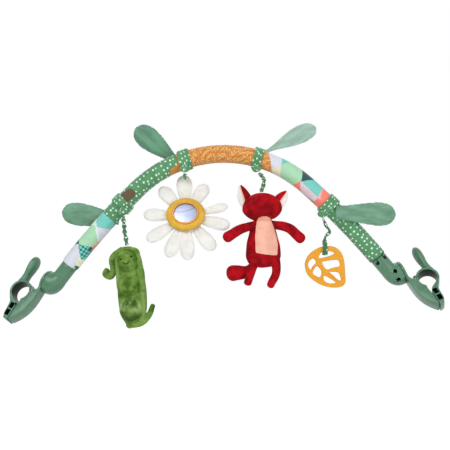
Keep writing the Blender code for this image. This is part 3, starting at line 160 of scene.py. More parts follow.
RIGHT_PATCHES = (
    ("lavender", ((60, -0.30), (78, -0.30), (84, 0.54), (70, 0.64))),
    ("cream", ((70, 0.64), (84, 0.54), (91, 0.94), (79, 1.25))),
    ("teal", ((77.5, -0.20), (94, -0.20), (93, 0.26), (82.5, 0.47))),
    ("mint", ((82.5, 0.47), (93, 0.00), (107, -0.10), (115.5, 0.56))),
    ("mint", ((82.5, 0.47), (115.5, 0.56), (109, 1.05), (90.5, 0.96))),
    ("navy", ((106.5, 0.00), (132, -0.20), (128.5, 0.17), (117, 0.57))),
    ("coral", ((108, 1.08), (115.5, 0.57), (127.5, 0.95), (127, 1.30))),
    ("teal", ((117, 0.56), (129, 0.15), (142, -0.20), (147, 0.59))),
    ("pink", ((115.5, 0.57), (147, 0.59), (149, 0.85), (127, 0.96))),
    ("coral", ((140, -0.10), (160, -0.20), (160, 0.55), (150, 0.53))),
    ("olive", ((127, 0.96), (149, 0.84), (160, 1.40), (127, 1.40))),
    ("orange", ((70, 0.66), (77.5, 0.98), (77.5, 1.40), (70, 1.40))),
)
DOTS_ORANGE = ((-81, 1.20), (-72, 0.64), (-56, 0.58), (-56, 1.20))
ORANGE_LAVENDER = ((61, -0.40), (61.5, 0.18), (74, 0.80), (74, -0.40))

# Elbows
ELBOW_BEND = math.radians(74)
ELBOW_TWISTS = {"left": math.radians(19), "right": math.radians(1)}
ELBOW_WALL = 0.0022
ELBOW_RIM = 0.0035
ELBOW_CREASE = 0.0006
DISC_ROUNDING = 0.0008
NECK_TUCK = 0.0140
NECK_TUCK_SHARE = 0.963
SCREW_SEAT = 0.0055
SCREW_BORE_RADIUS = 0.0013
SCREW_HEAD_RADIUS = 0.0020
SCREW_WELL_RADIUS = 0.0023

# Clips, in the frame of the swivel: x out, z up from the jaws
CLIP_HALF = 0.00975
BORE_PLACE = Vector((0.0245, 0, -0.0270))
BORE_RADIUS = 0.0120
PIVOT = Vector((0.0104, 0, -0.0207))
ARM_REACH = 0.0685
TIP_OUT = 0.0180
JAW_THICKNESS = 0.0088
JAW_FACE = TIP_OUT + 0.0006
ARM_FACE = 0.0005
SWIVEL_RADIUS = 0.0152
STEM_RADIUS = 0.0047
FLANGE_RADIUS = 0.0075
PIN_RADIUS = 0.0014
PIN_BORE = 0.0017
KNUCKLE_RADIUS = 0.0033
KNUCKLE_ROOM = 0.0038
KNUCKLE_SPAN = (-0.00555, -0.00035)
LUG_WIDTH = 0.0038
LEVER_HALF_WIDTH = 0.0063
LEVER_HALF_DEPTH = 0.0104
POCKET_TOP = 0.0455
POCKET_PITCH = 0.0102
POCKET_HEIGHT = 0.0082
POCKET_DEPTH = 0.0080
ARM_OUTER_SHARES = ((0.02, 0.45), (0.14, 0.64), (0.36, 0.79), (0.66, 0.91), (0.93, 0.99))
ARM_INNER_SHARES = ((1.0, 0.985), (1.0, 0.86), (0.98, 0.72), (0.93, 0.62))
JAW_OUTER_SHARES = ((1.62, 0.595), (1.20, 0.67), (1.07, 0.78), (1.0, 0.90), (0.68, 1.0))
JAW_INNER_SHARES = ((0.0, 1.02), (0.0, 0.86), (0.02, 0.73), (0.30, 0.635), (0.80, 0.590))
LEVER_RUN_SHARES = (0.0, 0.12, 0.30, 0.52, 0.74, 0.88, 0.96, 0.99, 1.0)
LEVER_WIDTH_SHARES = (1.10, 0.92, 0.78, 0.95, 1.0, 0.82, 0.52, 0.28, 0.06)
LEVER_DEPTH_SHARES = (0.80, 0.72, 0.78, 0.95, 1.0, 0.86, 0.60, 0.34, 0.08)

# Daisy
DAISY_DROP = 0.0645
DAISY_SIDE = 0.0004
DAISY_LEAN = math.radians(25)
PETAL_REACH = 0.0610
PETAL_ROOT = 0.0120
PETAL_ANGLES = tuple(math.radians(a) for a in (92.7, 60, 15, -15, -53, -88, -112, -147, 174.6, 127.7))
PETAL_REACH_SHARES = (1.05, 0.92, 0.96, 1.00, 1.02, 1.03, 1.03, 1.02, 0.95, 0.94)
PETAL_BROAD_SHARES = (1.08, 1.0, 0.70, 0.96, 1.0, 1.0, 1.0, 0.94, 0.96, 1.0)
PETAL_RUN_SHARES = (0.0, 0.18, 0.36, 0.54, 0.70, 0.83, 0.92, 0.975, 1.0)
PETAL_WIDTH_SHARES = (0.52, 0.66, 0.84, 0.97, 1.0, 0.92, 0.72, 0.46, 0.12)
DAISY_MIDDLE = ((-0.0034, 0.0190), (-0.0024, 0.0226), (0.0, 0.0232), (0.0024, 0.0226), (0.0034, 0.0190))
DAISY_BACK = ((0.0043, 0.0215), (0.0050, 0.0225), (0.0062, 0.0221), (0.0073, 0.0195), (0.0077, 0.0140),
              (0.0078, 0.0020))
RING_BACK = -0.0043
MIRROR_OVAL = 0.92
CREASE_ASIDE = 0.0069
CREASE_HEIGHT = 0.0063

# Fox, from the middle of its head, and pea pod, from its top
FOX_SIZE = 0.1000
FOX_HEAD = Vector((0.0262, 0.0205, 0.0192))
FOX_NECK_DROP = 0.0125
FOX_BODY_LENGTH = 0.0680
FOX_BODY_HALF_WIDTH = 0.0232
FOX_BODY_HALF_DEPTH = 0.0175
FOX_EYES = ((-0.0118, 0.0116), (0.0192, 0.0118))
FOX_BODY_RUN_SHARES = (0.0, 0.05, 0.16, 0.36, 0.58, 0.78, 0.92, 0.98, 1.0)
FOX_BODY_WIDTH_SHARES = (0.25, 0.48, 0.66, 0.82, 0.97, 1.0, 0.86, 0.60, 0.25)
FOX_BODY_DEPTH_SHARES = (0.25, 0.50, 0.68, 0.86, 1.0, 0.98, 0.80, 0.55, 0.25)
ARM_PATH_SHARES = {
    "left": ((-0.1, -0.04, -0.235), (-0.3, -0.125, -0.29), (-0.462, -0.225, -0.378)),
    "right": ((0.12, 0, -0.235), (0.34, -0.01, -0.285), (0.49, -0.02, -0.42)),
}
LEG_PATH_SHARES = {
    "left": ((-0.1, -0.03, -0.64), (-0.17, -0.04, -0.86), (-0.215, -0.04, -0.99)),
    "right": ((0.15, -0.02, -0.6), (0.165, -0.03, -0.86), (0.09, -0.03, -1.03)),
}
BELLY_OUTLINE_SHARES = (
    (-0.34, 0.27), (-0.26, 0.215), (-0.05, 0.185), (0.20, 0.185), (0.42, 0.22), (0.52, 0.30), (0.64, 0.42),
    (0.76, 0.58), (0.82, 0.74), (0.78, 0.92), (0.70, 0.945), (0.10, 0.92), (-0.42, 0.885), (-0.47, 0.86),
    (-0.47, 0.57), (-0.41, 0.40),
)
FOX_TAIL_SHARES = ((-0.08, 0.09, -0.74), (-0.22, 0.09, -0.86), (-0.39, 0.07, -0.875))
EAR_BASE_SHARES = {"left": (-0.195, 0.03), "right": (0.17, 0)}
EAR_TIP_SHARES = {"left": (-0.285, 0.3), "right": (0.335, 0.205)}
POD_LENGTH = 0.1075
POD_HALF_WIDTH = 0.0190
POD_HALF_DEPTH = 0.0160
POD_DRIFT = 0.0062
POD_BACK = 0.0040
POD_RUN_SHARES = (0.0, 0.05, 0.14, 0.30, 0.50, 0.70, 0.86, 0.95, 1.0)
POD_WIDTH_SHARES = (0.28, 0.60, 0.85, 0.97, 1.0, 1.0, 0.88, 0.60, 0.25)
PEA_RADIUS_SHARES = (0.779, 0.789, 0.821)
PEA_DROP_SHARES = (0.172, 0.47, 0.767)
PEA_SIDE_SHARES = (0.026, 0.158, 0.237)
CURL_SHARES = ((-0.074, 0, -0.056), (-0.181, 0, -0.14), (-0.179, 0, -0.288), (-0.219, 0, -0.367),
               (-0.279, 0, -0.335), (-0.265, 0, -0.298))
STEM_SHARES = ((0.019, -0.019, -0.958), (0.149, -0.037, -0.94), (0.251, -0.037, -0.856), (0.302, -0.028, -0.744))
PEA_EYES = ((-0.0056, 0.0028, 0.0012), (0.0074, 0.0058, 0.0014))
PEA_SMILE = ((-0.0036, -0.0006), (-0.0018, -0.0026), (0.0006, -0.0034), (0.0030, -0.0024), (0.0044, 0.0000))

# Leaf teether, as shares of its width and height
TEETHER_ROUNDING = 0.0013
TEETHER_OPENING_GROWTH = 0.0009
TEETHER_HANG_SHARES = (0.505, 0.815)
TEETHER_OUTLINE_SHARES = (
    (0.43, 0.984), (0.252, 0.912), (0.092, 0.784), (0.012, 0.632), (0.005, 0.496), (0.052, 0.34), (0.156, 0.22),
    (0.316, 0.11), (0.492, 0.035), (0.668, 0.0), (0.828, 0.0), (0.948, 0.04), (1.0, 0.136), (0.995, 0.352),
    (0.984, 0.592), (0.948, 0.76), (0.868, 0.888), (0.748, 0.972), (0.588, 1.0),
)
TEETHER_OPENING_SHARES = (
    ((0.36, 0.715), (0.40, 0.835), (0.50, 0.880), (0.66, 0.872), (0.745, 0.815), (0.58, 0.755)),
    ((0.436, 0.608), (0.588, 0.645), (0.80, 0.660), (0.868, 0.592), (0.86, 0.504), (0.70, 0.48), (0.545, 0.44)),
    ((0.612, 0.368), (0.80, 0.355), (0.86, 0.304), (0.90, 0.170), (0.82, 0.180), (0.70, 0.290)),
    ((0.204, 0.704), (0.268, 0.608), (0.188, 0.528), (0.14, 0.44), (0.076, 0.544), (0.10, 0.64)),
    ((0.308, 0.512), (0.404, 0.384), (0.356, 0.256), (0.196, 0.344), (0.228, 0.448)),
    ((0.476, 0.28), (0.60, 0.215), (0.765, 0.112), (0.668, 0.090), (0.55, 0.115), (0.468, 0.182)),
)


def srgb(red, green, blue):
    """Linear colour of an 8-bit one."""
    return tuple(c / 12.92 if c <= 0.04045 else ((c + 0.055) / 1.055) ** 2.4
                 for c in (red / 255, green / 255, blue / 255))


def length(name, description, default):
    return FloatProperty(name=name, description=description, default=default, min=0, subtype="DISTANCE",
                         unit="LENGTH", precision=4)


def colour(name, description, default):
    return FloatVectorProperty(name=name, description=description, default=default, subtype="COLOR", size=3, min=0,
                               max=1)


class PlayArchSizes(bpy.types.PropertyGroup):
    crown_radius: length("Crown radius", "Radius of the arch's middle", 0.168)
    leg_length: length("Leg length", "Length of each straight flank of the arch", 0.136)
    sleeve_radius: length("Sleeve radius", "Outer radius of the padded sleeve", 0.0121)
    neck_length: length("Neck length", "Straight part of an elbow outside the sleeve", 0.0205)
    neck_radius: length("Neck radius", "Radius of an elbow's neck", 0.0108)
    disc_radius: length("Disc radius", "Radius of an elbow at its swivel", 0.0156)
    tie_width: length("Tie width", "Width of a ribbon tie", 0.0150)
    leaf_length: length("Leaf length", "Length of a padded leaf", 0.0830)
    leaf_width: length("Leaf width", "Widest part of a padded leaf", 0.0330)
    leaf_thickness: length("Leaf thickness", "Thickness of a padded leaf", 0.0060)
    lever_length: length("Lever length", "Length of a clip's thumb lever", 0.0405)
    petal_width: length("Petal width", "Widest part of a daisy petal", 0.0214)
    petal_thickness: length("Petal thickness", "Thickness of a daisy petal", 0.0072)
    ring_radius: length("Ring radius", "Outer radius of the daisy's yellow ring", 0.0262)
    mirror_radius: length("Mirror radius", "Radius of the daisy's mirror", 0.0155)
    teether_width: length("Teether width", "Width of the leaf teether", 0.0525)
    teether_height: length("Teether height", "Height of the leaf teether", 0.0547)
    teether_thickness: length("Teether thickness", "Thickness of the leaf teether", 0.0060)
    tube_sides: IntProperty(name="Tube sides", description="Facets round the sleeve", default=48, min=12, max=96)


class PlayArchColours(bpy.types.PropertyGroup):
    plastic: colour("Plastic", "Elbows and clips", srgb(75, 121, 93))
    leaf: colour("Leaf", "Padded leaves", srgb(91, 140, 111))
    dotted: colour("Dotted fabric", "Green of the dotted fabric", srgb(92, 152, 106))
    dots: colour("Dots", "Dots on the green fabric", srgb(220, 242, 222))
    orange: colour("Orange fabric", "Ground of the dashed fabric", srgb(206, 134, 62))
    dashes: colour("Dashes", "Dashes on the orange fabric", srgb(240, 200, 134))
    petal: colour("Petals", "Plush of the daisy's petals", srgb(236, 235, 230))
    ring: colour("Ring", "Plush of the daisy's ring", srgb(226, 180, 74))
    lip: colour("Lip", "Piping round the mirror", srgb(238, 170, 84))
    fox: colour("Fox", "Fox's plush", srgb(184, 13, 27))
    belly: colour("Belly", "Fox's belly", srgb(246, 186, 162))
    pea: colour("Pea", "Pea pod's plush", srgb(124, 158, 75))
    pea_shade: colour("Pea shade", "Darker nap of the pea pod", srgb(64, 100, 28))
    teether: colour("Teether", "Silicone of the teether", srgb(228, 158, 26))


def sizes():
    return bpy.context.scene.play_arch_sizes


def colours():
    return bpy.context.scene.play_arch_colours


class Board:
    """A node tree, with short ways to add and join its nodes."""

    def __init__(self, tree):
        self.tree = tree

    def put(self, kind, inputs=None, **settings):
        node = self.tree.nodes.new(kind)
        for key, value in settings.items():
            setattr(node, key, value)
        for key, value in (inputs or {}).items():
            self.feed(node.inputs[key], value)
        return node

    def feed(self, socket, value):
        if isinstance(value, bpy.types.NodeSocket):
            self.tree.links.new(value, socket)
        elif hasattr(value, "__len__") and len(value) == 3 and len(socket.default_value) == 4:
            socket.default_value = (*value, 1.0)
        else:
            socket.default_value = value

    def math(self, operation, *values):
        node = self.put("ShaderNodeMath", operation=operation)
        for socket, value in zip(node.inputs, values):
            self.feed(socket, value)
        return node.outputs[0]

    def vector(self, operation, *values):
        node = self.put("ShaderNodeVectorMath", operation=operation)
        for socket, value in zip(node.inputs, values):
            self.feed(socket, value)
        return node.outputs[1] if operation in {"LENGTH", "DISTANCE", "DOT_PRODUCT"} else node.outputs[0]

    def plus(self, first, second):
        return self.math("ADD", first, second)

    def minus(self, first, second):
        return self.math("SUBTRACT", first, second)

    def times(self, first, second):
        return self.math("MULTIPLY", first, second)

    def mix(self, factor, first, second):
        node = self.put("ShaderNodeMix", data_type="RGBA")
        self.feed(node.inputs[0], factor)
        self.feed(node.inputs[6], first)
        self.feed(node.inputs[7], second)
        return node.outputs[2]

    def noise(self, vector, scale, detail=3.0, roughness=0.5):
        return self.put("ShaderNodeTexNoise", {"Vector": vector, "Scale": scale, "Detail": detail,
                                               "Roughness": roughness}).outputs[0]

    def split(self, vector):
        return self.put("ShaderNodeSeparateXYZ", {0: vector}).outputs

    def join(self, x, y, z=0.0):
        return self.put("ShaderNodeCombineXYZ", {0: x, 1: y, 2: z}).outputs[0]

    def ramp(self, factor, low, high):
        """Smooth step from 0 at low to 1 at high."""
        node = self.put("ShaderNodeMapRange", {0: factor, 1: low, 2: high}, interpolation_type="SMOOTHSTEP")
        return node.outputs[0]

    def scaled(self, place, size):
        """A place measured in multiples of a size."""
        found = self.vector("SCALE", place)
        self.feed(found.node.inputs["Scale"], self.math("DIVIDE", 1.0, size))
        return found

    def turned(self, place, angle):
        return self.put("ShaderNodeVectorRotate", {"Vector": place, "Angle": angle},
                        rotation_type="Z_AXIS").outputs[0]

    def cells(self, place, randomness):
        return self.put("ShaderNodeTexVoronoi", {"Vector": place, "Scale": 1.0, "Randomness": randomness},
                        voronoi_dimensions="2D").outputs

    def checks(self, place, scale, dark, pale):
        return self.put("ShaderNodeTexChecker", {"Vector": place, "Scale": scale, "Color1": dark,
                                                 "Color2": pale}).outputs[0]

    def attribute(self, name, output):
        return self.put("ShaderNodeAttribute", attribute_name=name).outputs[output]

    def group(self, name, **given):
        """Puts a shared group on the board and feeds its inputs."""
        node = self.put("ShaderNodeGroup", node_tree=shader_group(name))
        for label, value in given.items():
            self.feed(node.inputs[label], value)
        return node


def shader_group(name):
    """A node group that is built once and then placed in each material; an input with no default is a vector."""
    group = bpy.data.node_groups.get(name)
    if group is None:
        inputs, outputs, fill = GROUPS[name]
        group = bpy.data.node_groups.new(name, "ShaderNodeTree")
        for label, default in inputs.items():
            kind = "NodeSocketVector" if default is None else FLOAT
            socket = group.interface.new_socket(label, in_out="INPUT", socket_type=kind)
            if default is not None:
                socket.default_value = default
        for label, kind in outputs.items():
            group.interface.new_socket(label, in_out="OUTPUT", socket_type=kind)
        board = Board(group)
        given = board.put("NodeGroupInput").outputs
        given_back = board.put("NodeGroupOutput").inputs
        for label, value in fill(board, given).items():
            board.feed(given_back[label], value)
    return group


def fill_weave(board, given):
    """Crossed threads and soft creases; Height drives a bump, and Tone is painted shade and light of the creases,
    darker in their troughs.
    """
    x, y, z = board.split(board.scaled(given["Place"], given["Thread"]))
    slant = board.times(z, 0.5)
    warp, weft = (board.math("SINE", board.times(board.plus(side, slant), math.tau)) for side in (x, y))
    crease = board.noise(given["Place"], 90.0, 4.0, 0.55)
    height = board.plus(board.times(board.times(warp, weft), 0.12), crease)
    # Tone follows the crease height: painted shade in the troughs, painted light on the ridges.
    return {"Height": height, "Tone": board.plus(0.93, board.times(crease, 0.14))}


def fill_pile(board, given):
    """Short plush pile: brushed patches that lie light or dark, and fine tufts."""
    lie = board.ramp(board.noise(given["Place"], 70.0, 3.0, 0.55), 0.36, 0.66)
    tufts = board.noise(given["Place"], 1500.0, 2.0, 0.7)
    nap = board.plus(lie, board.times(board.minus(tufts, 0.5), 0.5))
    return {"Nap": board.put("ShaderNodeClamp", {0: nap}).outputs[0], "Height": tufts}


def fill_dots(board, given):
    """Small dots, one in each cell of a loose grid, a little longer round the sleeve than along it."""
    place = board.vector("MULTIPLY", board.scaled(given["Place"], given["Spacing"]), (1.0, 0.86, 1.0))
    cells = board.cells(place, 0.55)
    radius = board.plus(0.15, board.times(board.split(cells["Color"])[0], 0.07))
    return {"Dot": board.ramp(board.minus(radius, cells["Distance"]), -0.02, 0.03)}


def fill_dashes(board, given):
    """Short strokes that lie every way, one in each cell, in three layers."""
    place = board.scaled(given["Place"], given["Spacing"])
    layers = []
    for shift, longest in (((0.0, 0.0, 0.0), 0.46), ((0.47, 0.31, 0.0), 0.42), ((0.21, 0.77, 0.0), 0.36)):
        moved = board.vector("ADD", place, shift)
        cells = board.cells(moved, 0.8)
        local = board.vector("SUBTRACT", moved, cells["Position"])
        turn = board.times(board.split(cells["Color"])[1], math.tau)
        x, y, _ = board.split(board.turned(local, turn))
        bow = board.minus(y, board.times(board.times(x, x), 0.55))
        within = board.math("LESS_THAN", board.math("ABSOLUTE", x), longest)
        layers.append(board.times(within, board.ramp(board.math("ABSOLUTE", bow), 0.115, 0.065)))
    return {"Dash": board.math("MAXIMUM", layers[0], board.times(layers[1], 0.45)), "Shade": layers[2]}


PATCH_COLOURS = (
    srgb(216, 219, 228), srgb(170, 218, 180), srgb(116, 200, 188), srgb(222, 226, 232), srgb(40, 112, 104),
    srgb(250, 132, 112), srgb(176, 220, 186), srgb(60, 84, 94), srgb(226, 214, 200), srgb(122, 204, 190),
    srgb(236, 180, 190),
)


def fill_patchwork(board, given):
    """Triangles of plain colours; some carry a small check."""
    turned_place = board.turned(board.scaled(given["Place"], given["Side"]), math.radians(17))
    x, y, _ = board.split(turned_place)
    row = board.math("DIVIDE", y, 0.866)
    skew = board.minus(x, board.times(row, 0.5))
    row_cell, skew_cell = board.math("FLOOR", row), board.math("FLOOR", skew)
    row_part, skew_part = board.math("FRACT", row), board.math("FRACT", skew)
    upper = board.math("GREATER_THAN", board.plus(row_part, skew_part), 1.0)
    key = board.join(row_cell, skew_cell, board.times(upper, 0.5))
    picked = board.put("ShaderNodeTexWhiteNoise", {"Vector": key}, noise_dimensions="3D")
    ramp = board.put("ShaderNodeValToRGB")
    ramp.color_ramp.interpolation = "CONSTANT"
    elements = ramp.color_ramp.elements
    while len(elements) < len(PATCH_COLOURS):
        elements.new(0.5)
    for n, (element, tint) in enumerate(zip(elements, PATCH_COLOURS)):
        element.position = n / len(PATCH_COLOURS)
        element.color = (*tint, 1.0)
    board.feed(ramp.inputs[0], picked.outputs["Value"])
    small = board.checks(turned_place, 9.0, srgb(36, 128, 122), srgb(120, 206, 192))
    checked = board.math("GREATER_THAN", board.split(picked.outputs["Color"])[1], 0.84)
    return {"Colour": board.mix(checked, ramp.outputs[0], small)}


def fill_patch(board, given):
    """1 inside a shape of four straight edges, each given as its inward normal and its distance."""
    x, y, _ = board.split(given["Place"])
    spot = board.join(x, y, 1.0)
    least = None
    for edge in EDGES:
        inside = board.vector("DOT_PRODUCT", spot, given[edge])
        least = inside if least is None else board.math("MINIMUM", least, inside)
    return {"Mask": board.ramp(least, -0.00012, 0.00012)}


FLOAT = "NodeSocketFloat"
EDGES = ("Edge 1", "Edge 2", "Edge 3", "Edge 4")
GROUPS = {
    "Weave": ({"Place": None, "Thread": 0.0005}, {"Height": FLOAT, "Tone": FLOAT}, fill_weave),
    "Plush pile": ({"Place": None}, {"Nap": FLOAT, "Height": FLOAT}, fill_pile),
    "Dots": ({"Place": None, "Spacing": 0.0064}, {"Dot": FLOAT}, fill_dots),
    "Dashes": ({"Place": None, "Spacing": 0.0056}, {"Dash": FLOAT, "Shade": FLOAT}, fill_dashes),
    "Patchwork": ({"Place": None, "Side": 0.0250}, {"Colour": "NodeSocketColor"}, fill_patchwork),
    "Patch": ({"Place": None, **dict.fromkeys(EDGES)}, {"Mask": FLOAT}, fill_patch),
}


def patch_mask(board, place, corners):
    """Mask of a patch; its corners are a run along the arch in millimetres and a share of the way down its front."""
    spots = [Vector((run / 1000, -share * math.pi * sizes().sleeve_radius)) for run, share in corners]
    middle = sum(spots, Vector((0, 0))) / len(spots)
    node = board.group("Patch", Place=place)
    for n, edge in enumerate(EDGES):
        first, second = spots[n], spots[(n + 1) % len(spots)]
        inward = Vector((first.y - second.y, second.x - first.x)).normalized()
        if inward.dot(middle - first) < 0:
            inward.negate()
        node.inputs[edge].default_value = (inward.x, inward.y, -inward.dot(first))
    return node.outputs["Mask"]


def new_finish(name, roughness, **constants):
    """An empty material with its Principled shader's constants set; returns it with its board and shader."""
    made = bpy.data.materials.new(name)
    made.use_nodes = True
    board = Board(made.node_tree)
    shader = made.node_tree.nodes["Principled BSDF"]
    shader.inputs["Roughness"].default_value = roughness
    for key, value in constants.items():
        board.feed(shader.inputs[key.replace("_", " ")], value)
    return made, board, shader


def paint(board, shader, tint, rough=None):
    """Feeds a finish's colour and, where it varies, its roughness."""
    board.feed(shader.inputs["Base Color"], tint)
    if rough is not None:
        board.feed(shader.inputs["Roughness"], rough)


def shaded(tint, share, lift=0.0):
    """A colour made darker or paler, with no channel past 1."""
    return tuple(min(c * share + lift, 1.0) for c in tint)


def bump(board, shader, height, strength, distance):
    node = board.put("ShaderNodeBump", {"Height": height, "Strength": strength, "Distance": distance})
    board.feed(shader.inputs["Normal"], node.outputs[0])


def object_place(board):
    return board.put("ShaderNodeTexCoord").outputs["Object"]


def wrapped_place(board):
    """Place on the flat cloth of a tube or strip: along it, then round or across it."""
    return board.attribute("cloth_place", "Vector")


def plastic_finish(name, tint):
    """Satin moulded plastic, lightly rubbed, with painted shade in its wells and bores: near-black colour and a weak
    reflection there.
    """
    made, board, shader = new_finish(name, 0.38)
    place = object_place(board)
    mottle = board.ramp(board.noise(place, 60.0, 4.0, 0.6), 0.35, 0.65)
    scuffs = board.noise(place, 700.0, 3.0, 0.7)
    outside = board.mix(mottle, shaded(tint, 0.86), shaded(tint, 1.10, 0.006))
    # Faces marked hollow get painted shade: the tint at 0.12 and little specular reflection.
    hollow = board.attribute("hollow", "Fac")
    rough = board.plus(0.30, board.times(board.ramp(scuffs, 0.40, 0.75), 0.14))
    paint(board, shader, board.mix(hollow, outside, shaded(tint, 0.12)), rough)
    board.feed(shader.inputs["Specular IOR Level"], board.minus(0.45, board.times(hollow, 0.40)))
    bump(board, shader, scuffs, 0.10, 0.0001)
    return made


def steel_finish(name, tone=1.0):
    made, board, shader = new_finish(name, 0.28, Metallic=1.0)
    brushed = board.noise(board.vector("MULTIPLY", object_place(board), (1.0, 0.08, 1.0)), 2600.0, 2.0, 0.6)
    paint(board, shader, board.mix(brushed, shaded((0.42, 0.43, 0.44), tone), shaded((0.62, 0.63, 0.64), tone)),
          board.plus(0.22, board.times(brushed, 0.16)))
    return made


def foam_finish(name):
    made, board, shader = new_finish(name, 0.95)
    cells = board.put("ShaderNodeTexVoronoi", {"Vector": object_place(board), "Scale": 1400.0}).outputs["Distance"]
    paint(board, shader, board.mix(cells, (0.70, 0.70, 0.68), (0.86, 0.86, 0.84)))
    bump(board, shader, cells, 0.5, 0.0003)
    return made


def cloth_base(name):
    """Woven cotton's shader, its place on the cloth and its tone, the painted shade and light of its creases."""
    made, board, shader = new_finish(name, 0.86, Specular_IOR_Level=0.22, Sheen_Weight=0.25, Sheen_Roughness=0.5)
    place = wrapped_place(board)
    weave = board.group("Weave", Place=place).outputs
    bump(board, shader, weave["Height"], 0.55, 0.0005)
    return made, board, shader, place, weave["Tone"]


def toned(board, tint, tone):
    grey = board.put("ShaderNodeCombineColor", {0: tone, 1: tone, 2: tone}).outputs[0]
    node = board.put("ShaderNodeMix", data_type="RGBA", blend_type="MULTIPLY")
    board.feed(node.inputs[0], 1.0)
    board.feed(node.inputs[6], tint)
    board.feed(node.inputs[7], grey)
    return node.outputs[2]


def dotted_finish(name, spacing=0.0064, corner=None, painted_shade=1.0):
    """Green cotton with pale dots; corner is a patch of the next fabric that shows in it; a share below 1 darkens the
    green, not the dots, as painted shade.
    """
    made, board, shader, place, tone = cloth_base(name)
    dots = board.group("Dots", Place=place, Spacing=spacing).outputs["Dot"]
    patchy = board.ramp(board.noise(place, 55.0), 0.3, 0.7)
    green = shaded(colours().dotted, painted_shade)
    tint = board.mix(dots, board.mix(patchy, shaded(green, 0.80), green), tuple(colours().dots))
    if corner:
        tint = board.mix(patch_mask(board, place, corner), tint, tuple(colours().orange))
    paint(board, shader, toned(board, tint, tone))
    return made


def dashed_finish(name):
    made, board, shader, place, tone = cloth_base(name)
    dashes = board.group("Dashes", Place=place).outputs
    ground = board.mix(dashes["Shade"], tuple(colours().orange), srgb(182, 104, 44))
    tint = board.mix(dashes["Dash"], ground, tuple(colours().dashes))
    tint = board.mix(patch_mask(board, place, ORANGE_LAVENDER), tint, srgb(*PATCH_TINTS["lavender"]))
    paint(board, shader, toned(board, tint, tone))
    return made


def patchwork_finish(name, start, patches):
    """Patches on the front, plain triangles behind; start moves those, so that two sleeves don't match."""
    made, board, shader, place, tone = cloth_base(name)
    moved = board.vector("ADD", place, (start, start * 0.37, 0.0))
    tint = board.group("Patchwork", Place=moved).outputs["Colour"]
    for key, corners in patches:
        if key == "check":
            upright = board.turned(place, math.radians(42))
            own = board.checks(upright, 300.0, srgb(38, 124, 116), srgb(122, 206, 192))
        else:
            own = srgb(*PATCH_TINTS[key])
        tint = board.mix(patch_mask(board, place, corners), tint, own)
    paint(board, shader, toned(board, tint, tone))
    return made


def satin_finish(name, tint, streak):
    """Padded satin: soft streaks along the leaf, lighter and darker, that are painted light and shade of its folds
    and also drive its bump, and a faint seam line at its rim.
    """
    made, board, shader = new_finish(name, 0.50, Specular_IOR_Level=0.35, Sheen_Weight=0.30, Sheen_Roughness=0.4)
    x, y, rim = board.split(wrapped_place(board))
    streaks = board.noise(board.join(board.times(x, 0.30), y, streak), 130.0, 4.0, 0.6)
    fine = board.noise(board.join(board.times(x, 0.25), y, streak), 900.0, 3.0, 0.6)
    # Streaks between 0.78 and 1.14 of the tint: painted shade and painted sheen of the satin's folds.
    satin = board.mix(board.ramp(streaks, 0.36, 0.66), shaded(tint, 0.78), shaded(tint, 1.14))
    seam = board.times(board.ramp(rim, 0.90, 0.95), 0.45)
    paint(board, shader, board.mix(seam, satin, shaded(tint, 0.45)))
    bump(board, shader, board.plus(streaks, board.times(fine, 0.15)), 0.22, 0.0005)
    return made


def plush_finish(name, pale, deep, sheen=0.45, contrast=1.0, fall=None):
    """Short nap; fall gives two heights between which painted shade darkens it downwards."""
    made, board, shader = new_finish(name, 0.92, Specular_IOR_Level=0.12, Sheen_Weight=sheen, Sheen_Roughness=0.45,
                                     Sheen_Tint=pale)
    place = object_place(board)
    pile = board.group("Plush pile", Place=place).outputs
    nap = board.times(pile["Nap"], contrast)
    # Below fall's upper height the nap turns deeper: painted shade of a form lit from above.
    if fall:
        nap = board.times(nap, board.ramp(board.split(place)[2], *fall))
    paint(board, shader, board.mix(nap, deep, pale))
    bump(board, shader, pile["Height"], 0.65, 0.0004)
    return made


def named_plush(name, key, deep_share, sheen):
    """Plush in one of the panel's colours, with a deeper nap of the same."""
    tint = tuple(getattr(colours(), key))
    return plush_finish(name, tint, shaded(tint, deep_share), sheen)


def silicone_finish(name, tint):
    made, board, shader = new_finish(name, 0.42, Specular_IOR_Level=0.40, Subsurface_Weight=0.08,
                                     Subsurface_Radius=(0.004, 0.002, 0.0005), Subsurface_Scale=1.0)
    mottle = board.noise(object_place(board), 120.0, 3.0, 0.5)
    paint(board, shader, board.mix(mottle, shaded(tint, 0.92), tint), board.plus(0.36, board.times(mottle, 0.14)))
    return made


def mirror_finish(name, middle):
    """Soft mirror film with faint ripples and one long crease, bowed across it above the middle; the crease is a
    painted dark line of reflection, not a fold in the film.
    """
    made, board, shader = new_finish(name, 0.34, Metallic=0.75)
    place = object_place(board)
    ripples = board.noise(place, 110.0, 2.0, 0.4)
    x, _, z = board.split(place)
    aside = board.plus(x, CREASE_ASIDE - middle.x)
    bow = board.plus(board.times(board.times(aside, aside), 15.0), middle.z + CREASE_HEIGHT)
    # The crease line is painted darker: painted reflection of a fold.
    line = board.ramp(board.math("ABSOLUTE", board.minus(z, bow)), 0.0011, 0.0003)
    film = board.mix(ripples, srgb(138, 145, 168), srgb(162, 168, 190))
    paint(board, shader, board.mix(board.times(line, 0.7), film, srgb(120, 116, 150)))
    bump(board, shader, ripples, 0.20, 0.0006)
    return made


def thread_finish(name, tint):
    made, board, shader = new_finish(name, 0.8, Specular_IOR_Level=0.12)
    strands = board.noise(board.vector("MULTIPLY", object_place(board), (1.0, 1.0, 0.2)), 3000.0, 2.0, 0.6)
    paint(board, shader, board.mix(strands, tint, shaded(tint, 1.6, 0.004)))
    bump(board, shader, strands, 0.5, 0.0001)
    return made


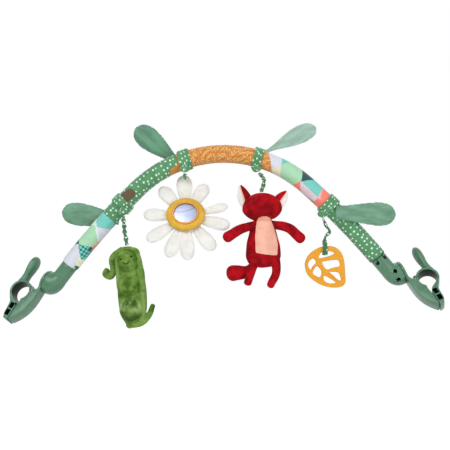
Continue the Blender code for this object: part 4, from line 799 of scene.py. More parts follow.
def frame_of(place, *columns):
    """Matrix with the given columns and origin."""
    matrix = Matrix.Identity(4)
    for n, column in enumerate(columns):
        matrix.col[n].xyz = column
    matrix.translation = place
    return matrix


def section(centre, across, up, width, height):
    """Matrix that takes the unit circle to an ellipse about centre."""
    return frame_of(centre, across * width, up * height, across.cross(up).normalized())


def heading_axes(turn):
    """Directions along and across a heading in the arch's plane."""
    return Vector((math.cos(turn), 0, math.sin(turn))), Vector((-math.sin(turn), 0, math.cos(turn)))


def direction(path, n):
    """Direction of a path at one of its points."""
    return (path[min(n + 1, len(path) - 1)] - path[max(n - 1, 0)]).normalized()


def sweep(stations, sides, runs=None, radius=0.0, ends=True):
    """A skin extruded from section to section; it remembers its place on the flat cloth."""
    bm = bmesh.new()
    place = bm.verts.layers.float_vector.new("cloth_place")
    bmesh.ops.create_circle(bm, segments=sides, radius=1.0)
    verts, edges = list(bm.verts), list(bm.edges)
    bmesh.ops.transform(bm, matrix=stations[0], verts=verts)
    first_edges = edges
    for n, station in enumerate(stations):
        if n:
            grown = bmesh.ops.extrude_edge_only(bm, edges=edges)["geom"]
            verts = [g for g in grown if isinstance(g, bmesh.types.BMVert)]
            edges = [g for g in grown if isinstance(g, bmesh.types.BMEdge)]
            bmesh.ops.transform(bm, matrix=station @ stations[n - 1].inverted(), verts=verts)
        back = station.inverted()
        run = runs[n] if runs else 0.0
        for vert in verts:
            unit = back @ vert.co
            vert[place] = (run, math.atan2(unit.y, unit.x) * radius, 0.0)
    if ends:
        bmesh.ops.edgeloop_fill(bm, edges=first_edges)
        bmesh.ops.edgeloop_fill(bm, edges=edges)
    bmesh.ops.recalc_face_normals(bm, faces=bm.faces)
    return bm


def turned(profile, sides, matrix=Matrix.Identity(4), oval=1.0):
    """A turned solid about local Y: profile holds places along it and the radius there."""
    bm = sweep([section(Y_AXIS * along, Z_AXIS, X_AXIS, radius * oval, radius) for along, radius in profile], sides)
    bmesh.ops.transform(bm, matrix=matrix, verts=bm.verts)
    return bm


def prism(outline, low, high, rounding=0.0):
    """An outline in local XZ with a thickness along Y and its long edges rounded."""
    bm = bmesh.new()
    face = bm.faces.new([bm.verts.new((x, low, z)) for x, z in outline])
    grown = bmesh.ops.extrude_face_region(bm, geom=[face])["geom"]
    bmesh.ops.translate(bm, verts=[g for g in grown if isinstance(g, bmesh.types.BMVert)], vec=(0, high - low, 0))
    bmesh.ops.recalc_face_normals(bm, faces=bm.faces)
    if rounding:
        rims = [e for e in bm.edges if abs(e.verts[0].co.y - e.verts[1].co.y) < 1e-7]
        bmesh.ops.bevel(bm, geom=rims, offset=rounding, offset_type="OFFSET", affect="EDGES", segments=3,
                        profile=0.5, material=-1, clamp_overlap=True)
    return bm


def ball(centre, radii, segments, rings):
    bm = bmesh.new()
    bmesh.ops.create_uvsphere(bm, u_segments=segments, v_segments=rings, radius=1.0)
    matrix = Matrix.Translation(centre) @ Matrix.Diagonal(Vector(radii)).to_4x4()
    bmesh.ops.transform(bm, matrix=matrix, verts=bm.verts)
    return bm


def crumple(bm, size, depth, seed=0.0):
    """Moves the skin in and out by soft noise of the given size and depth."""
    bm.normal_update()
    for vert in bm.verts:
        vert.co += vert.normal * depth * noise.noise(vert.co / size + Vector((seed, 0, 0)))


def weld(bm, reach=WELD):
    """Closes a skin whose last section lies on its first."""
    bmesh.ops.remove_doubles(bm, verts=bm.verts, dist=reach)
    bmesh.ops.recalc_face_normals(bm, faces=bm.faces)


def close_tube(bm):
    """Bridges the two open rims of a tube."""
    bmesh.ops.bridge_loops(bm, edges=[e for e in bm.edges if e.is_boundary])
    bmesh.ops.recalc_face_normals(bm, faces=bm.faces)


def spline(a, b, c, d, t):
    """Catmull-Rom curve from b to c."""
    return 0.5 * (2 * b + (c - a) * t + (2 * a - 5 * b + 4 * c - d) * t ** 2 + (3 * b - a - 3 * c + d) * t ** 3)


def smooth_path(points, steps, closed=False):
    """Points along a smooth curve through the given ones."""
    points = [Vector(p) for p in points]
    if closed:
        ends = points[-1:] + points + points[:2]
    else:
        ends = [2 * points[0] - points[1]] + points + [2 * points[-1] - points[-2]]
    path = [spline(*ends[n:n + 4], step / steps) for n in range(len(ends) - 3) for step in range(steps)]
    return path if closed else path + [points[-1]]


def table_value(share, shares, values):
    """Value of a table between its entries, eased."""
    for n in range(len(shares) - 1):
        if share <= shares[n + 1]:
            t = (share - shares[n]) / (shares[n + 1] - shares[n])
            before, after = values[max(n - 1, 0)], values[min(n + 2, len(values) - 1)]
            return spline(before, values[n], values[n + 1], after, t)
    return values[-1]


def object_from(bm, name):
    mesh = bpy.data.meshes.new(name)
    bm.to_mesh(mesh)
    bm.free()
    mesh.shade_smooth()
    mesh.set_sharp_from_angle(angle=math.radians(50))
    obj = bpy.data.objects.new(name, mesh)
    bpy.context.scene.collection.objects.link(obj)
    return obj


def bake(obj):
    """Makes an object's modifiers part of its mesh."""
    graph = bpy.context.evaluated_depsgraph_get()
    graph.update()
    mesh = bpy.data.meshes.new_from_object(obj.evaluated_get(graph))
    obj.modifiers.clear()
    obj.data = mesh


def combine(obj, others, operation):
    """Boolean with each of the others, which are then gone."""
    for other in others:
        step = obj.modifiers.new("join", "BOOLEAN")
        step.operation = operation
        step.object = other
        step.solver = "EXACT"
    bake(obj)
    for other in others:
        bpy.data.objects.remove(other, do_unlink=True)


def subdivide(obj, levels=1):
    step = obj.modifiers.new("soften", "SUBSURF")
    step.levels = levels
    step.render_levels = levels
    bake(obj)


def show(obj, body, slot, finish, *nodes, smooth=math.radians(50)):
    """Hangs a piece on its body, in place of its CAD nodes."""
    obj.data.materials.clear()
    obj.data.materials.append(finish)
    obj.data.shade_smooth()
    if smooth:
        obj.data.set_sharp_from_angle(angle=smooth)
    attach(obj, body)
    if nodes:
        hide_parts(*nodes)
    return obj


SIM_SCALE = 10.0
SIM_FRAMES = 20


def stuff(obj, voxel, most, pressure):
    """Remeshes a slack form evenly and blows it up as cloth, so that its rim puckers like sewn fabric."""
    obj.data.transform(Matrix.Scale(SIM_SCALE, 4))
    remesh = obj.modifiers.new("even", "REMESH")
    remesh.mode = "VOXEL"
    remesh.voxel_size = voxel * SIM_SCALE
    bake(obj)
    before = [v.co.copy() for v in obj.data.vertices]
    cloth = obj.modifiers.new("cloth", "CLOTH")
    cloth.settings.quality = 4
    cloth.settings.use_pressure = True
    cloth.settings.uniform_pressure_force = pressure
    cloth.settings.effector_weights.gravity = 0
    cloth.settings.tension_stiffness = 12
    cloth.settings.bending_stiffness = 0.3
    for frame in range(1, SIM_FRAMES + 1):
        bpy.context.scene.frame_set(frame)
    bake(obj)
    bpy.context.scene.frame_set(1)
    limit = most * SIM_SCALE
    for vert, old in zip(obj.data.vertices, before):
        move = vert.co - old
        if move.length > limit:
            vert.co = old + move * (limit / move.length)
    obj.data.transform(Matrix.Scale(1 / SIM_SCALE, 4))
    subdivide(obj)


def mark_places(obj, place_of):
    """Writes each point's place on the flat cloth."""
    layer = obj.data.attributes.get("cloth_place")
    if layer is not None:
        obj.data.attributes.remove(layer)
    layer = obj.data.attributes.new("cloth_place", "FLOAT_VECTOR", "POINT")
    for vert, spot in zip(obj.data.vertices, layer.data):
        spot.vector = place_of(vert.co)


def mark_painted_hollow_shade(obj, place, inside):
    """Marks the faces that line a well or a bore, where the plastic finish paints shade; inside tells them from a
    face's middle in the place's frame.
    """
    layer = obj.data.attributes.new("hollow", "FLOAT", "FACE")
    back = place.inverted()
    for face, spot in zip(obj.data.polygons, layer.data):
        spot.value = 1.0 if inside(back @ face.center) else 0.0


def crown_run():
    return sizes().crown_radius * CROWN_HALF_ANGLE


def half_run():
    return crown_run() + sizes().leg_length


def curve_frame(run):
    """Place, outward normal and tangent of the arch's centreline at a run from the crown."""
    radius, leg_radius = sizes().crown_radius, sizes().leg_length / LEG_TURN
    side = -1 if run < 0 else 1
    flat = min(abs(run), crown_run()) / radius
    out = radius * math.sin(flat)
    drop = radius * (1 - math.cos(flat))
    angle = flat
    if abs(run) > crown_run():
        angle = CROWN_HALF_ANGLE + min(abs(run) - crown_run(), sizes().leg_length) / leg_radius
        out += leg_radius * (math.sin(angle) - math.sin(CROWN_HALF_ANGLE))
        drop += leg_radius * (math.cos(CROWN_HALF_ANGLE) - math.cos(angle))
    normal = Vector((side * math.sin(angle), 0, math.cos(angle)))
    tangent = Vector((math.cos(angle), 0, -side * math.sin(angle)))
    beyond = side * max(abs(run) - half_run(), 0)
    return Vector((side * out, 0, arch_height() - drop)) + tangent * beyond, normal, tangent


def arch_section(run, radius):
    """Round section of the arch at a run from the crown."""
    centre, normal, _ = curve_frame(run)
    return section(centre, normal, Y_AXIS, radius, radius)


def elbow_sections(steps):
    """Centre, heading and radius along the right elbow, from the sleeve's end; x out, z up."""
    neck, disc = sizes().neck_radius, sizes().disc_radius
    heading = -(CROWN_HALF_ANGLE + LEG_TURN)
    along, inner = heading_axes(heading)
    tucked = neck * NECK_TUCK_SHARE
    found = [(along * -NECK_TUCK, heading, tucked), (along * 0.0003, heading, tucked),
             (along * 0.0009, heading, neck)]
    for n in range(1, 5):
        found.append((along * sizes().neck_length * n / 4, heading, neck))
    crease = along * sizes().neck_length + inner * (neck + ELBOW_CREASE)
    for step in range(1, steps + 1):
        share = step / steps
        turn = heading + ELBOW_BEND * share
        radius = neck + (disc - neck) * (1 - math.cos(share * math.pi)) / 2
        found.append((crease - heading_axes(turn)[1] * (radius + ELBOW_CREASE), turn, radius))
    centre, turn, radius = found[-1]
    found.append((centre + heading_axes(turn)[0] * ELBOW_RIM, turn, radius))
    return found


def arch_height():
    """Height of the crown, which puts the elbows' discs at the origin's height."""
    radius, leg_radius = sizes().crown_radius, sizes().leg_length / LEG_TURN
    last = CROWN_HALF_ANGLE + LEG_TURN
    down = radius * (1 - math.cos(CROWN_HALF_ANGLE)) + leg_radius * (math.cos(CROWN_HALF_ANGLE) - math.cos(last))
    return down - elbow_sections(6)[-1][0].z


def elbow_place(side):
    start, _, along = curve_frame(half_run())
    sense = -1 if side == "right" else 1
    half_turn = Matrix.Rotation(math.pi if side == "left" else 0, 4, "Z")
    return half_turn @ Matrix.Translation(start) @ Matrix.Rotation(sense * ELBOW_TWISTS[side], 4, along)


def clip_place(side):
    """Frame of a clip from its two joints: x out along the swivel, y along the pivot, z up from the jaws."""
    swivel, hinge = JOINTS[f"clip_{side}_swivel"], JOINTS[f"jaw_{side}_hinge"]
    out, across = Vector(swivel["axis"]).normalized(), -Vector(hinge["axis"]).normalized()
    return frame_of(Vector(swivel["pos_m"]), out, across, out.cross(across).normalized())


def tie_run(index):
    return half_run() * TIE_SHARES[index]


def knot_centre(index):
    centre, normal, _ = curve_frame(tie_run(index) + sizes().tie_width * KNOT_SHIFT_SHARES[index])
    reach = sizes().sleeve_radius + GAP + KNOT_RADIUS * KNOT_SEAT_SHARE
    angle = KNOT_ANGLES[index]
    return centre + (Vector((0, -math.cos(angle), 0)) - normal * math.sin(angle)) * reach


class PLAYARCH_OT_stage(bpy.types.Operator):
    """White backdrop, soft lamps and the camera"""

    bl_idname = "play_arch.stage"
    bl_label = "Stage"

    def execute(self, context):
        scene = context.scene
        scene.view_settings.view_transform = "Standard"
        self.build_world(scene)
        self.build_floor()
        for name, place, turn, size, power in LAMPS:
            lamp = bpy.data.lights.new(name, "AREA")
            lamp.shape = "SQUARE"
            lamp.size = size
            lamp.energy = power
            obj = bpy.data.objects.new(name, lamp)
            obj.location = place
            obj.rotation_euler = [math.radians(a) for a in turn]
            scene.collection.objects.link(obj)
        camera = bpy.data.cameras.new("Camera")
        camera.lens = LENS
        camera.sensor_width = SENSOR_WIDTH
        camera.dof.use_dof = False
        eye = bpy.data.objects.new("Camera", camera)
        eye.matrix_world = (Matrix.Translation(CAMERA_PLACE) @ Matrix.Rotation(math.radians(90), 4, "X")
                            @ Matrix.Rotation(CAMERA_ROLL, 4, "Z"))
        scene.collection.objects.link(eye)
        scene.camera = eye
        return {"FINISHED"}

    def build_world(self, scene):
        world = bpy.data.worlds.new("Studio")
        world.use_nodes = True
        scene.world = world
        board = Board(world.node_tree)
        board.tree.nodes.clear()
        out = board.put("ShaderNodeOutputWorld")
        white = board.put("ShaderNodeBackground", {"Color": (1.0, 1.0, 1.0), "Strength": 1.0})
        soft = board.put("ShaderNodeBackground", {"Color": (1.0, 1.0, 1.0), "Strength": WORLD_LIGHT})
        shown = self.shown_rays(board)
        mix = board.put("ShaderNodeMixShader", {0: shown, 1: soft.outputs[0], 2: white.outputs[0]})
        board.feed(out.inputs["Surface"], mix.outputs[0])

    def shown_rays(self, board):
        """1 for rays that show the backdrop: straight from the camera, mirrored or passed through."""
        seen = board.put("ShaderNodeLightPath").outputs
        return board.math("MAXIMUM", seen["Is Camera Ray"],
                          board.math("MAXIMUM", seen["Is Glossy Ray"], seen["Is Transmission Ray"]))

    def build_floor(self):
        """Pale floor that reads as white and keeps the shadow."""
        bm = bmesh.new()
        bmesh.ops.create_grid(bm, x_segments=2, y_segments=2, size=3.0)
        bmesh.ops.translate(bm, verts=bm.verts, vec=(0, 0, FLOOR_HEIGHT))
        floor = object_from(bm, "Floor")
        made, board, shader = new_finish("Floor white", 0.9)
        grain = board.noise(object_place(board), 4.0)
        paint(board, shader, board.mix(grain, (0.86, 0.86, 0.86), (0.90, 0.90, 0.90)))
        glow = board.put("ShaderNodeEmission", {"Strength": board.times(self.shown_rays(board), FLOOR_GLOW)})
        both = board.put("ShaderNodeAddShader", {0: shader.outputs[0], 1: glow.outputs[0]})
        board.feed(board.tree.nodes["Material Output"].inputs["Surface"], both.outputs[0])
        floor.data.materials.append(made)


class PLAYARCH_OT_sleeve(bpy.types.Operator):
    """Bendable core, foam and the five fabric sections over them"""

    bl_idname = "play_arch.sleeve"
    bl_label = "Padded sleeve"

    def execute(self, context):
        reach = half_run()
        cuts = (-reach, *(reach * share for share in SLEEVE_CUT_SHARES), reach)
        dotted = dotted_finish("Dotted cotton")
        dotted_left = dotted_finish("Dotted cotton left", corner=DOTS_ORANGE)
        sections = (
            ("left_print", patchwork_finish("Patchwork cotton left", 0.011, LEFT_PATCHES), "patchwork_fabric"),
            ("left_dots", dotted_left, "dotted_fabric"),
            ("orange", dashed_finish("Dashed cotton"), "orange_fabric"),
            ("right_print", patchwork_finish("Patchwork cotton right", 0.183, RIGHT_PATCHES), "patchwork_fabric"),
            ("right_dots", dotted, "dotted_fabric"),
        )
        for n, (part, finish, slot) in enumerate(sections):
            piece = self.build_section(f"cover_{part}", cuts[n], cuts[n + 1])
            show(piece, "arch", slot, finish, f"sleeve_{part}", smooth=None)
        self.build_seams((*cuts[1:-1], reach - 0.0006))
        self.build_patch()
        for node, finish in (("core_rod", steel_finish("Core wire")), ("foam_tube", foam_finish("Foam"))):
            FRAME["nodes"][node].data.materials.clear()
            FRAME["nodes"][node].data.materials.append(finish)
        return {"FINISHED"}

    def build_section(self, name, start, end):
        """Outer skin drawn in at both seams, then back through the inside."""
        outer = sizes().sleeve_radius
        inner = outer - SLEEVE_WALL
        low, high = start + GAP / 2, end - GAP / 2
        count = max(8, int((high - low) / 0.0022))
        runs = [low + (high - low) * n / count for n in range(count + 1)]
        drawn_in = [0.0005 * math.exp(-(min(run - low, high - run) / 0.0012) ** 2) for run in runs]
        stations = [arch_section(run, outer - depth) for run, depth in zip(runs, drawn_in)]
        stations += [arch_section(run, inner) for run in runs[::-1]]
        bm = sweep(stations, sizes().tube_sides, runs + runs[::-1], outer, ends=False)
        place = bm.verts.layers.float_vector["cloth_place"]
        ties = [tie_run(index) for index in range(len(TIE_SHARES))]
        for vert in bm.verts:
            run, around, _ = vert[place]
            outward = vert.co - curve_frame(run)[0]
            if outward.length >= outer - SLEEVE_WALL * 0.7:
                near = math.exp(-(min(abs(run - tie) for tie in ties) / 0.018) ** 2)
                rim = math.exp(-(min(run - low, high - run) / 0.006) ** 2)
                wave = noise.noise(Vector((run / 0.016, around / 0.006, 3.1)))
                vert.co += outward.normalized() * wave * (0.00018 + 0.00030 * near + 0.00022 * rim)
        close_tube(bm)
        return object_from(bm, name)

    def build_seams(self, runs):
        """A sunken line of thread where two fabrics meet, and a thicker one at the right end."""
        green = thread_finish("Seam thread", srgb(70, 96, 74))
        pale = thread_finish("Pale thread", srgb(206, 210, 220))
        dark = thread_finish("Dark stitching", srgb(22, 52, 40))
        finishes = (green, green, pale, green, dark)
        for n, run in enumerate(runs):
            centre, normal, tangent = curve_frame(run)
            stations = []
            for k in range(49):
                a = math.tau * (k % 48) / 48
                point = centre + (normal * math.cos(a) + Y_AXIS * math.sin(a)) * (sizes().sleeve_radius - 0.0004)
                thick = 0.0005 + 0.00015 * math.sin(k * 2.1) if n == len(runs) - 1 else 0.00022
                stations.append(section(point, (point - centre).normalized(), tangent, thick, thick))
            bm = sweep(stations, 6, ends=False)
            bmesh.ops.remove_doubles(bm, verts=bm.verts, dist=WELD)
            show(object_from(bm, f"seam_{n + 1}"), "arch", "dotted_fabric", finishes[n])

    def build_patch(self):
        """Plain brown patch sewn on the left dotted section."""
        middle = half_run() * BROWN_PATCH_SHARE
        outer = sizes().sleeve_radius + 0.00018
        bm = bmesh.new()
        bmesh.ops.create_grid(bm, x_segments=14, y_segments=12, size=1.0)
        for vert in bm.verts:
            x, y = vert.co.x, vert.co.y
            corner = 1 - 0.22 * max(abs(x), abs(y)) * (x * x * y * y)
            turn = math.radians(80) + y * 0.60 * corner + x * 0.10
            centre, normal, _ = curve_frame(middle + x * 0.0102 * corner)
            vert.co = centre + (normal * math.cos(turn) - Y_AXIS * math.sin(turn)) * outer
        bmesh.ops.solidify(bm, geom=bm.faces[:], thickness=0.0003)
        bmesh.ops.recalc_face_normals(bm, faces=bm.faces)
        piece = object_from(bm, "patch")
        mark_places(piece, lambda co: (co.x, co.z, 0.0))
        made, board, shader, _, tone = cloth_base("Brown patch")
        paint(board, shader, toned(board, srgb(100, 84, 62), tone))
        show(piece, "arch", "dotted_fabric", made)


class PLAYARCH_OT_elbows(bpy.types.Operator):
    """Two half shells and four screws at each end of the arch"""

    bl_idname = "play_arch.elbows"
    bl_label = "Elbows"

    def execute(self, context):
        finish = plastic_finish("Green plastic", tuple(colours().plastic))
        # Screw steel at tone 0.05 is nearly black: painted shade of the screws' deep wells.
        steel = steel_finish("Screw steel with painted shade", 0.05)
        for side in SIDES:
            hub = elbow_place(side)
            for part, keep in (("front", -1), ("back", 1)):
                shell = self.half_shell(f"elbow_shell_{side}_{part}", keep, hub)
                show(shell, "arch", "green_plastic", finish, f"elbow_{side}_{part}", smooth=math.radians(38))
            for n, middle in enumerate(self.screw_places()):
                screw = self.screw(f"screw_{side}_{n + 1}", hub @ Matrix.Translation(middle))
                show(screw, "arch", "steel", steel, f"elbow_{side}_screw_{n + 1}", smooth=math.radians(35))
        return {"FINISHED"}

    def screw_places(self):
        """Two beside the neck's start, then two in the disc."""
        along, across = heading_axes(-(CROWN_HALF_ANGLE + LEG_TURN))
        centre, turn, _ = elbow_sections(6)[-1]
        out, up = heading_axes(turn)
        return (along * 0.0056 + across * 0.0064, along * 0.0056 - across * 0.0064,
                centre - out * 0.0088 + up * 0.0074, centre - out * 0.0092 - up * 0.0042)

    def solid(self, shrink, skip):
        """The elbow's form, or the hollow in it, which starts at a later section and ends before the disc's face."""
        found = elbow_sections(18)[skip:]
        centre, turn, radius = found[-1]
        out, up = heading_axes(turn)
        if shrink:
            found[-1] = (centre - out * 0.0026, turn, radius)
        stations = [section(middle, heading_axes(heading)[1], Y_AXIS, size - shrink, size - shrink)
                    for middle, heading, size in found]
        if not shrink:
            stations.pop()
            for k in range(5):
                a = math.pi / 2 * k / 4
                size = radius - DISC_ROUNDING * (1 - math.cos(a))
                stations.append(section(centre - out * DISC_ROUNDING * (1 - math.sin(a)), up, Y_AXIS, size, size))
        return sweep(stations, 48)

    def half_shell(self, name, keep, hub):
        """The elbow's form cut on the arch's plane, with a fine rounded seam, a hollow, bores and screw wells."""
        bm = self.solid(0.0, 0)
        cut = bmesh.ops.bisect_plane(bm, geom=bm.verts[:] + bm.edges[:] + bm.faces[:], dist=1e-7,
                                     plane_co=(0, keep * GAP / 2, 0), plane_no=(0, keep, 0), clear_inner=True)
        bmesh.ops.edgeloop_fill(bm, edges=[e for e in cut["geom_cut"] if isinstance(e, bmesh.types.BMEdge)])
        rim = [e for e in bm.edges if all(abs(v.co.y - keep * GAP / 2) < 1e-6 for v in e.verts)]
        bmesh.ops.bevel(bm, geom=rim, offset=0.00035, offset_type="OFFSET", affect="EDGES", segments=2, profile=0.5,
                        material=-1)
        bmesh.ops.recalc_face_normals(bm, faces=bm.faces)
        shell = object_from(bm, name)
        centre, bend, _ = elbow_sections(6)[-1]
        to_rod = Matrix.Rotation(CROWN_HALF_ANGLE + LEG_TURN, 4, "Y") @ SIDEWAYS
        to_disc = Matrix.Translation(centre) @ Matrix.Rotation(-bend, 4, "Y") @ SIDEWAYS
        cutters = [self.solid(ELBOW_WALL, 4), turned(((-0.02, 0.0033), (0.0124, 0.0033)), 24, to_rod),
                   turned(((-0.005, 0.0052), (0.004, 0.0052)), 32, to_disc)]
        wells = self.screw_places() if keep < 0 else ()
        seat = ((-SCREW_SEAT, SCREW_WELL_RADIUS), (-SCREW_SEAT, SCREW_BORE_RADIUS))
        for middle in wells:
            well = ((-0.022, SCREW_WELL_RADIUS + 0.0004), (-SCREW_SEAT - 0.004, SCREW_WELL_RADIUS), *seat,
                    (0.0066, SCREW_BORE_RADIUS))
            cutters.append(turned(well, 24, Matrix.Translation(middle)))
        combine(shell, [object_from(cutter, "cutter") for cutter in cutters], "DIFFERENCE")
        posts = []
        for middle in wells[2:]:
            at = Matrix.Translation(middle)
            post = object_from(turned(((-0.0095, 0.0032), (-GAP, 0.0032)), 24, at), "post")
            bore = turned(((-0.03, SCREW_WELL_RADIUS), *seat, (0.002, SCREW_BORE_RADIUS)), 24, at)
            combine(post, [object_from(bore, "bore")], "DIFFERENCE")
            posts.append(post)
        if posts:
            combine(shell, posts, "UNION")
        shell.data.transform(hub)
        # The screw wells' faces get the plastic's painted shade.
        if wells:
            reach = SCREW_WELL_RADIUS + 0.0004
            mark_painted_hollow_shade(shell, hub, lambda co: any(math.hypot(co.x - w.x, co.z - w.z) < reach for w in wells))
        return shell

    def screw(self, name, place):
        """Pan head with a cross recess."""
        seat = -SCREW_SEAT - GAP
        top = seat - 0.0016
        profile = ((top, 0.0012), (top + 0.0003, 0.0018), (top + 0.0008, SCREW_HEAD_RADIUS),
                   (seat, SCREW_HEAD_RADIUS), (seat, 0.0010), (0.0052, 0.0010), (0.0062, 0.0003))
        screw = object_from(turned(profile, 24), name)
        slots = []
        for wide, tall in ((0.0013, 0.00028), (0.00028, 0.0013)):
            box = ((-wide, -tall), (wide, -tall), (wide, tall), (-wide, tall))
            slots.append(object_from(prism(box, top - 0.001, top + 0.0009), "slot"))
        combine(screw, slots, "DIFFERENCE")
        screw.data.transform(place)
        return screw


class PLAYARCH_OT_clips(bpy.types.Operator):
    """Fixed arm with its swivel disc, sprung jaw with ring and thumb lever, pin and spring"""

    bl_idname = "play_arch.clips"
    bl_label = "Clips"

    def execute(self, context):
        finish = bpy.data.materials["Green plastic"]
        steel = steel_finish("Spring steel", 0.45)
        for side in SIDES:
            hub = clip_place(side)
            clip, jaw = f"clip_{side}", f"jaw_{side}"
            show(self.build_arm(f"clip_arm_{side}", hub), clip, "green_plastic", finish, f"clip_{side}_arm",
                 smooth=math.radians(35))
            show(self.build_jaw(f"clip_jaw_{side}", hub), jaw, "green_plastic", finish, f"clip_{side}_jaw",
                 smooth=math.radians(35))
            rim = 0.0003
            low, high = -CLIP_HALF + GAP, CLIP_HALF - GAP
            pin = turned(((low, PIN_RADIUS - rim), (low + rim, PIN_RADIUS), (high - rim, PIN_RADIUS),
                          (high, PIN_RADIUS - rim)), 24, hub @ Matrix.Translation(PIVOT))
            show(object_from(pin, f"pin_{side}"), clip, "steel", steel, f"clip_{side}_pin")
            show(self.build_spring(f"spring_{side}", hub), clip, "spring_steel", steel, f"clip_{side}_spring",
                 smooth=None)
        return {"FINISHED"}

    def bore_points(self, radius, *degrees):
        """Points round the bore, clockwise from its outer side."""
        angles = [math.radians(a) for a in range(*degrees)]
        return [(BORE_PLACE.x + radius * math.cos(a), BORE_PLACE.z - radius * math.sin(a)) for a in angles]

    def eased(self, points, steps=4):
        """An open run of outline points, rounded."""
        return [(p.x, p.z) for p in smooth_path([(x, 0, z) for x, z in points], steps)]

    def arm_outline(self):
        outer = [(ARM_FACE, -0.002)] + [(ARM_FACE + (TIP_OUT - ARM_FACE) * out, -ARM_REACH * down)
                                        for out, down in ARM_OUTER_SHARES]
        inner = [(TIP_OUT * out, -ARM_REACH * down) for out, down in ARM_INNER_SHARES]
        back = [(PIVOT.x - KNUCKLE_RADIUS, PIVOT.z), (0.0042, -0.0152), (0.0042, -0.002)]
        return self.eased(outer) + self.eased(inner) + self.bore_points(BORE_RADIUS, 127, 196, 6) + back

    def jaw_outline(self):
        ring = self.bore_points(BORE_RADIUS + 0.0030, 205, 394, 6)
        outer, inner = ([(JAW_FACE + JAW_THICKNESS * out, -ARM_REACH * down) for out, down in shares]
                        for shares in (JAW_OUTER_SHARES, JAW_INNER_SHARES))
        bore = self.bore_points(BORE_RADIUS, 418, 204, -6)
        return ring + self.eased([ring[-1]] + outer)[1:] + self.eased(inner) + bore

    def cylinder(self, low, high, radius):
        """A cylinder on the pivot's line."""
        return object_from(turned(((low, radius), (high, radius)), 32, Matrix.Translation(PIVOT)), "cylinder")

    def build_arm(self, name, hub):
        arm = object_from(prism(self.arm_outline(), -CLIP_HALF, CLIP_HALF, 0.0009), name)
        stem, edge, face, back = -0.0029, 0.0009, ARM_FACE, 0.0042
        profile = ((stem - 0.0020, FLANGE_RADIUS - 0.0003), (stem - 0.0017, FLANGE_RADIUS), (stem, FLANGE_RADIUS),
                   (stem, STEM_RADIUS), (face, STEM_RADIUS), (face, SWIVEL_RADIUS - edge),
                   (face + edge * 0.3, SWIVEL_RADIUS - edge * 0.3), (face + edge, SWIVEL_RADIUS),
                   (back - edge, SWIVEL_RADIUS), (back - edge * 0.3, SWIVEL_RADIUS - edge * 0.3),
                   (back, SWIVEL_RADIUS - edge))
        lug = CLIP_HALF - LUG_WIDTH
        combine(arm, [object_from(turned(profile, 48, SIDEWAYS), "disc"),
                      self.cylinder(-CLIP_HALF, -lug, KNUCKLE_RADIUS),
                      self.cylinder(lug, CLIP_HALF, KNUCKLE_RADIUS)], "UNION")
        combine(arm, [self.cylinder(-lug, lug, KNUCKLE_ROOM),
                      self.cylinder(-CLIP_HALF * 2, CLIP_HALF * 2, PIN_BORE)], "DIFFERENCE")
        arm.data.transform(hub)
        # The bore's faces get the plastic's painted shade.
        mark_painted_hollow_shade(arm, hub, self.in_bore)
        return arm

    def build_jaw(self, name, hub):
        jaw = object_from(prism(self.jaw_outline(), -CLIP_HALF, CLIP_HALF, 0.0008), name)
        low, high = KNUCKLE_SPAN
        combine(jaw, [self.lever(), self.cylinder(low, high, KNUCKLE_RADIUS)], "UNION")
        cutters = [self.cylinder(-CLIP_HALF * 2, low, KNUCKLE_ROOM), self.cylinder(high, CLIP_HALF * 2, KNUCKLE_ROOM),
                   self.cylinder(-CLIP_HALF * 2, CLIP_HALF * 2, PIN_BORE)]
        combine(jaw, cutters + self.grooves() + self.pockets(), "DIFFERENCE")
        jaw.data.transform(hub)
        # Faces of the bore and the pockets get the plastic's painted shade.
        mark_painted_hollow_shade(jaw, hub, lambda co: self.in_bore(co) or self.in_pocket(co))
        return jaw

    def in_bore(self, co):
        reach = math.hypot(co.x - BORE_PLACE.x, co.z - BORE_PLACE.z)
        return reach < BORE_RADIUS + 0.0004 and abs(co.y) < CLIP_HALF - 0.0006

    def in_pocket(self, co):
        within = JAW_FACE + 0.0012 < co.x < JAW_FACE + JAW_THICKNESS - 0.0012
        return (within and abs(co.y) < CLIP_HALF - 0.0004
                and any(low < co.z < high for low, high in ((-0.0638, -0.0556), (-0.0536, -0.0454))))

    def lever_frame(self):
        x, z = self.bore_points(BORE_RADIUS + 0.0024, 305, 306)[0]
        lean = math.radians(1)
        along, across = (math.sin(lean), 0, math.cos(lean)), (math.cos(lean), 0, -math.sin(lean))
        return Vector((x, 0, z)), Vector(along), Vector(across)

    def lever(self):
        root, along, across = self.lever_frame()
        stations = []
        for n in range(27):
            run = 1 - (1 - n / 26) ** 1.5
            width = table_value(run, LEVER_RUN_SHARES, LEVER_WIDTH_SHARES) * LEVER_HALF_WIDTH
            depth = table_value(run, LEVER_RUN_SHARES, LEVER_DEPTH_SHARES) * LEVER_HALF_DEPTH
            stations.append(section(root + along * sizes().lever_length * run, across, Y_AXIS, max(width, 0.0003),
                                    max(depth, 0.0005)))
        return object_from(sweep(stations, 32), "lever")

    def grooves(self):
        """A shallow groove down both faces of the lever."""
        root, along, across = self.lever_frame()
        found = []
        for sense in (-1, 1):
            stations = []
            for n in range(11):
                run = 0.10 + 0.62 * n / 10
                fade = math.sin(math.pi * n / 10)
                width = table_value(run, LEVER_RUN_SHARES, LEVER_WIDTH_SHARES) * LEVER_HALF_WIDTH
                centre = root + along * sizes().lever_length * run + across * sense * (width + 0.0009 - 0.0008 * fade)
                stations.append(section(centre, across, Y_AXIS, 0.0010, 0.0005 + 0.0019 * fade))
            found.append(object_from(sweep(stations, 16), "groove"))
        return found

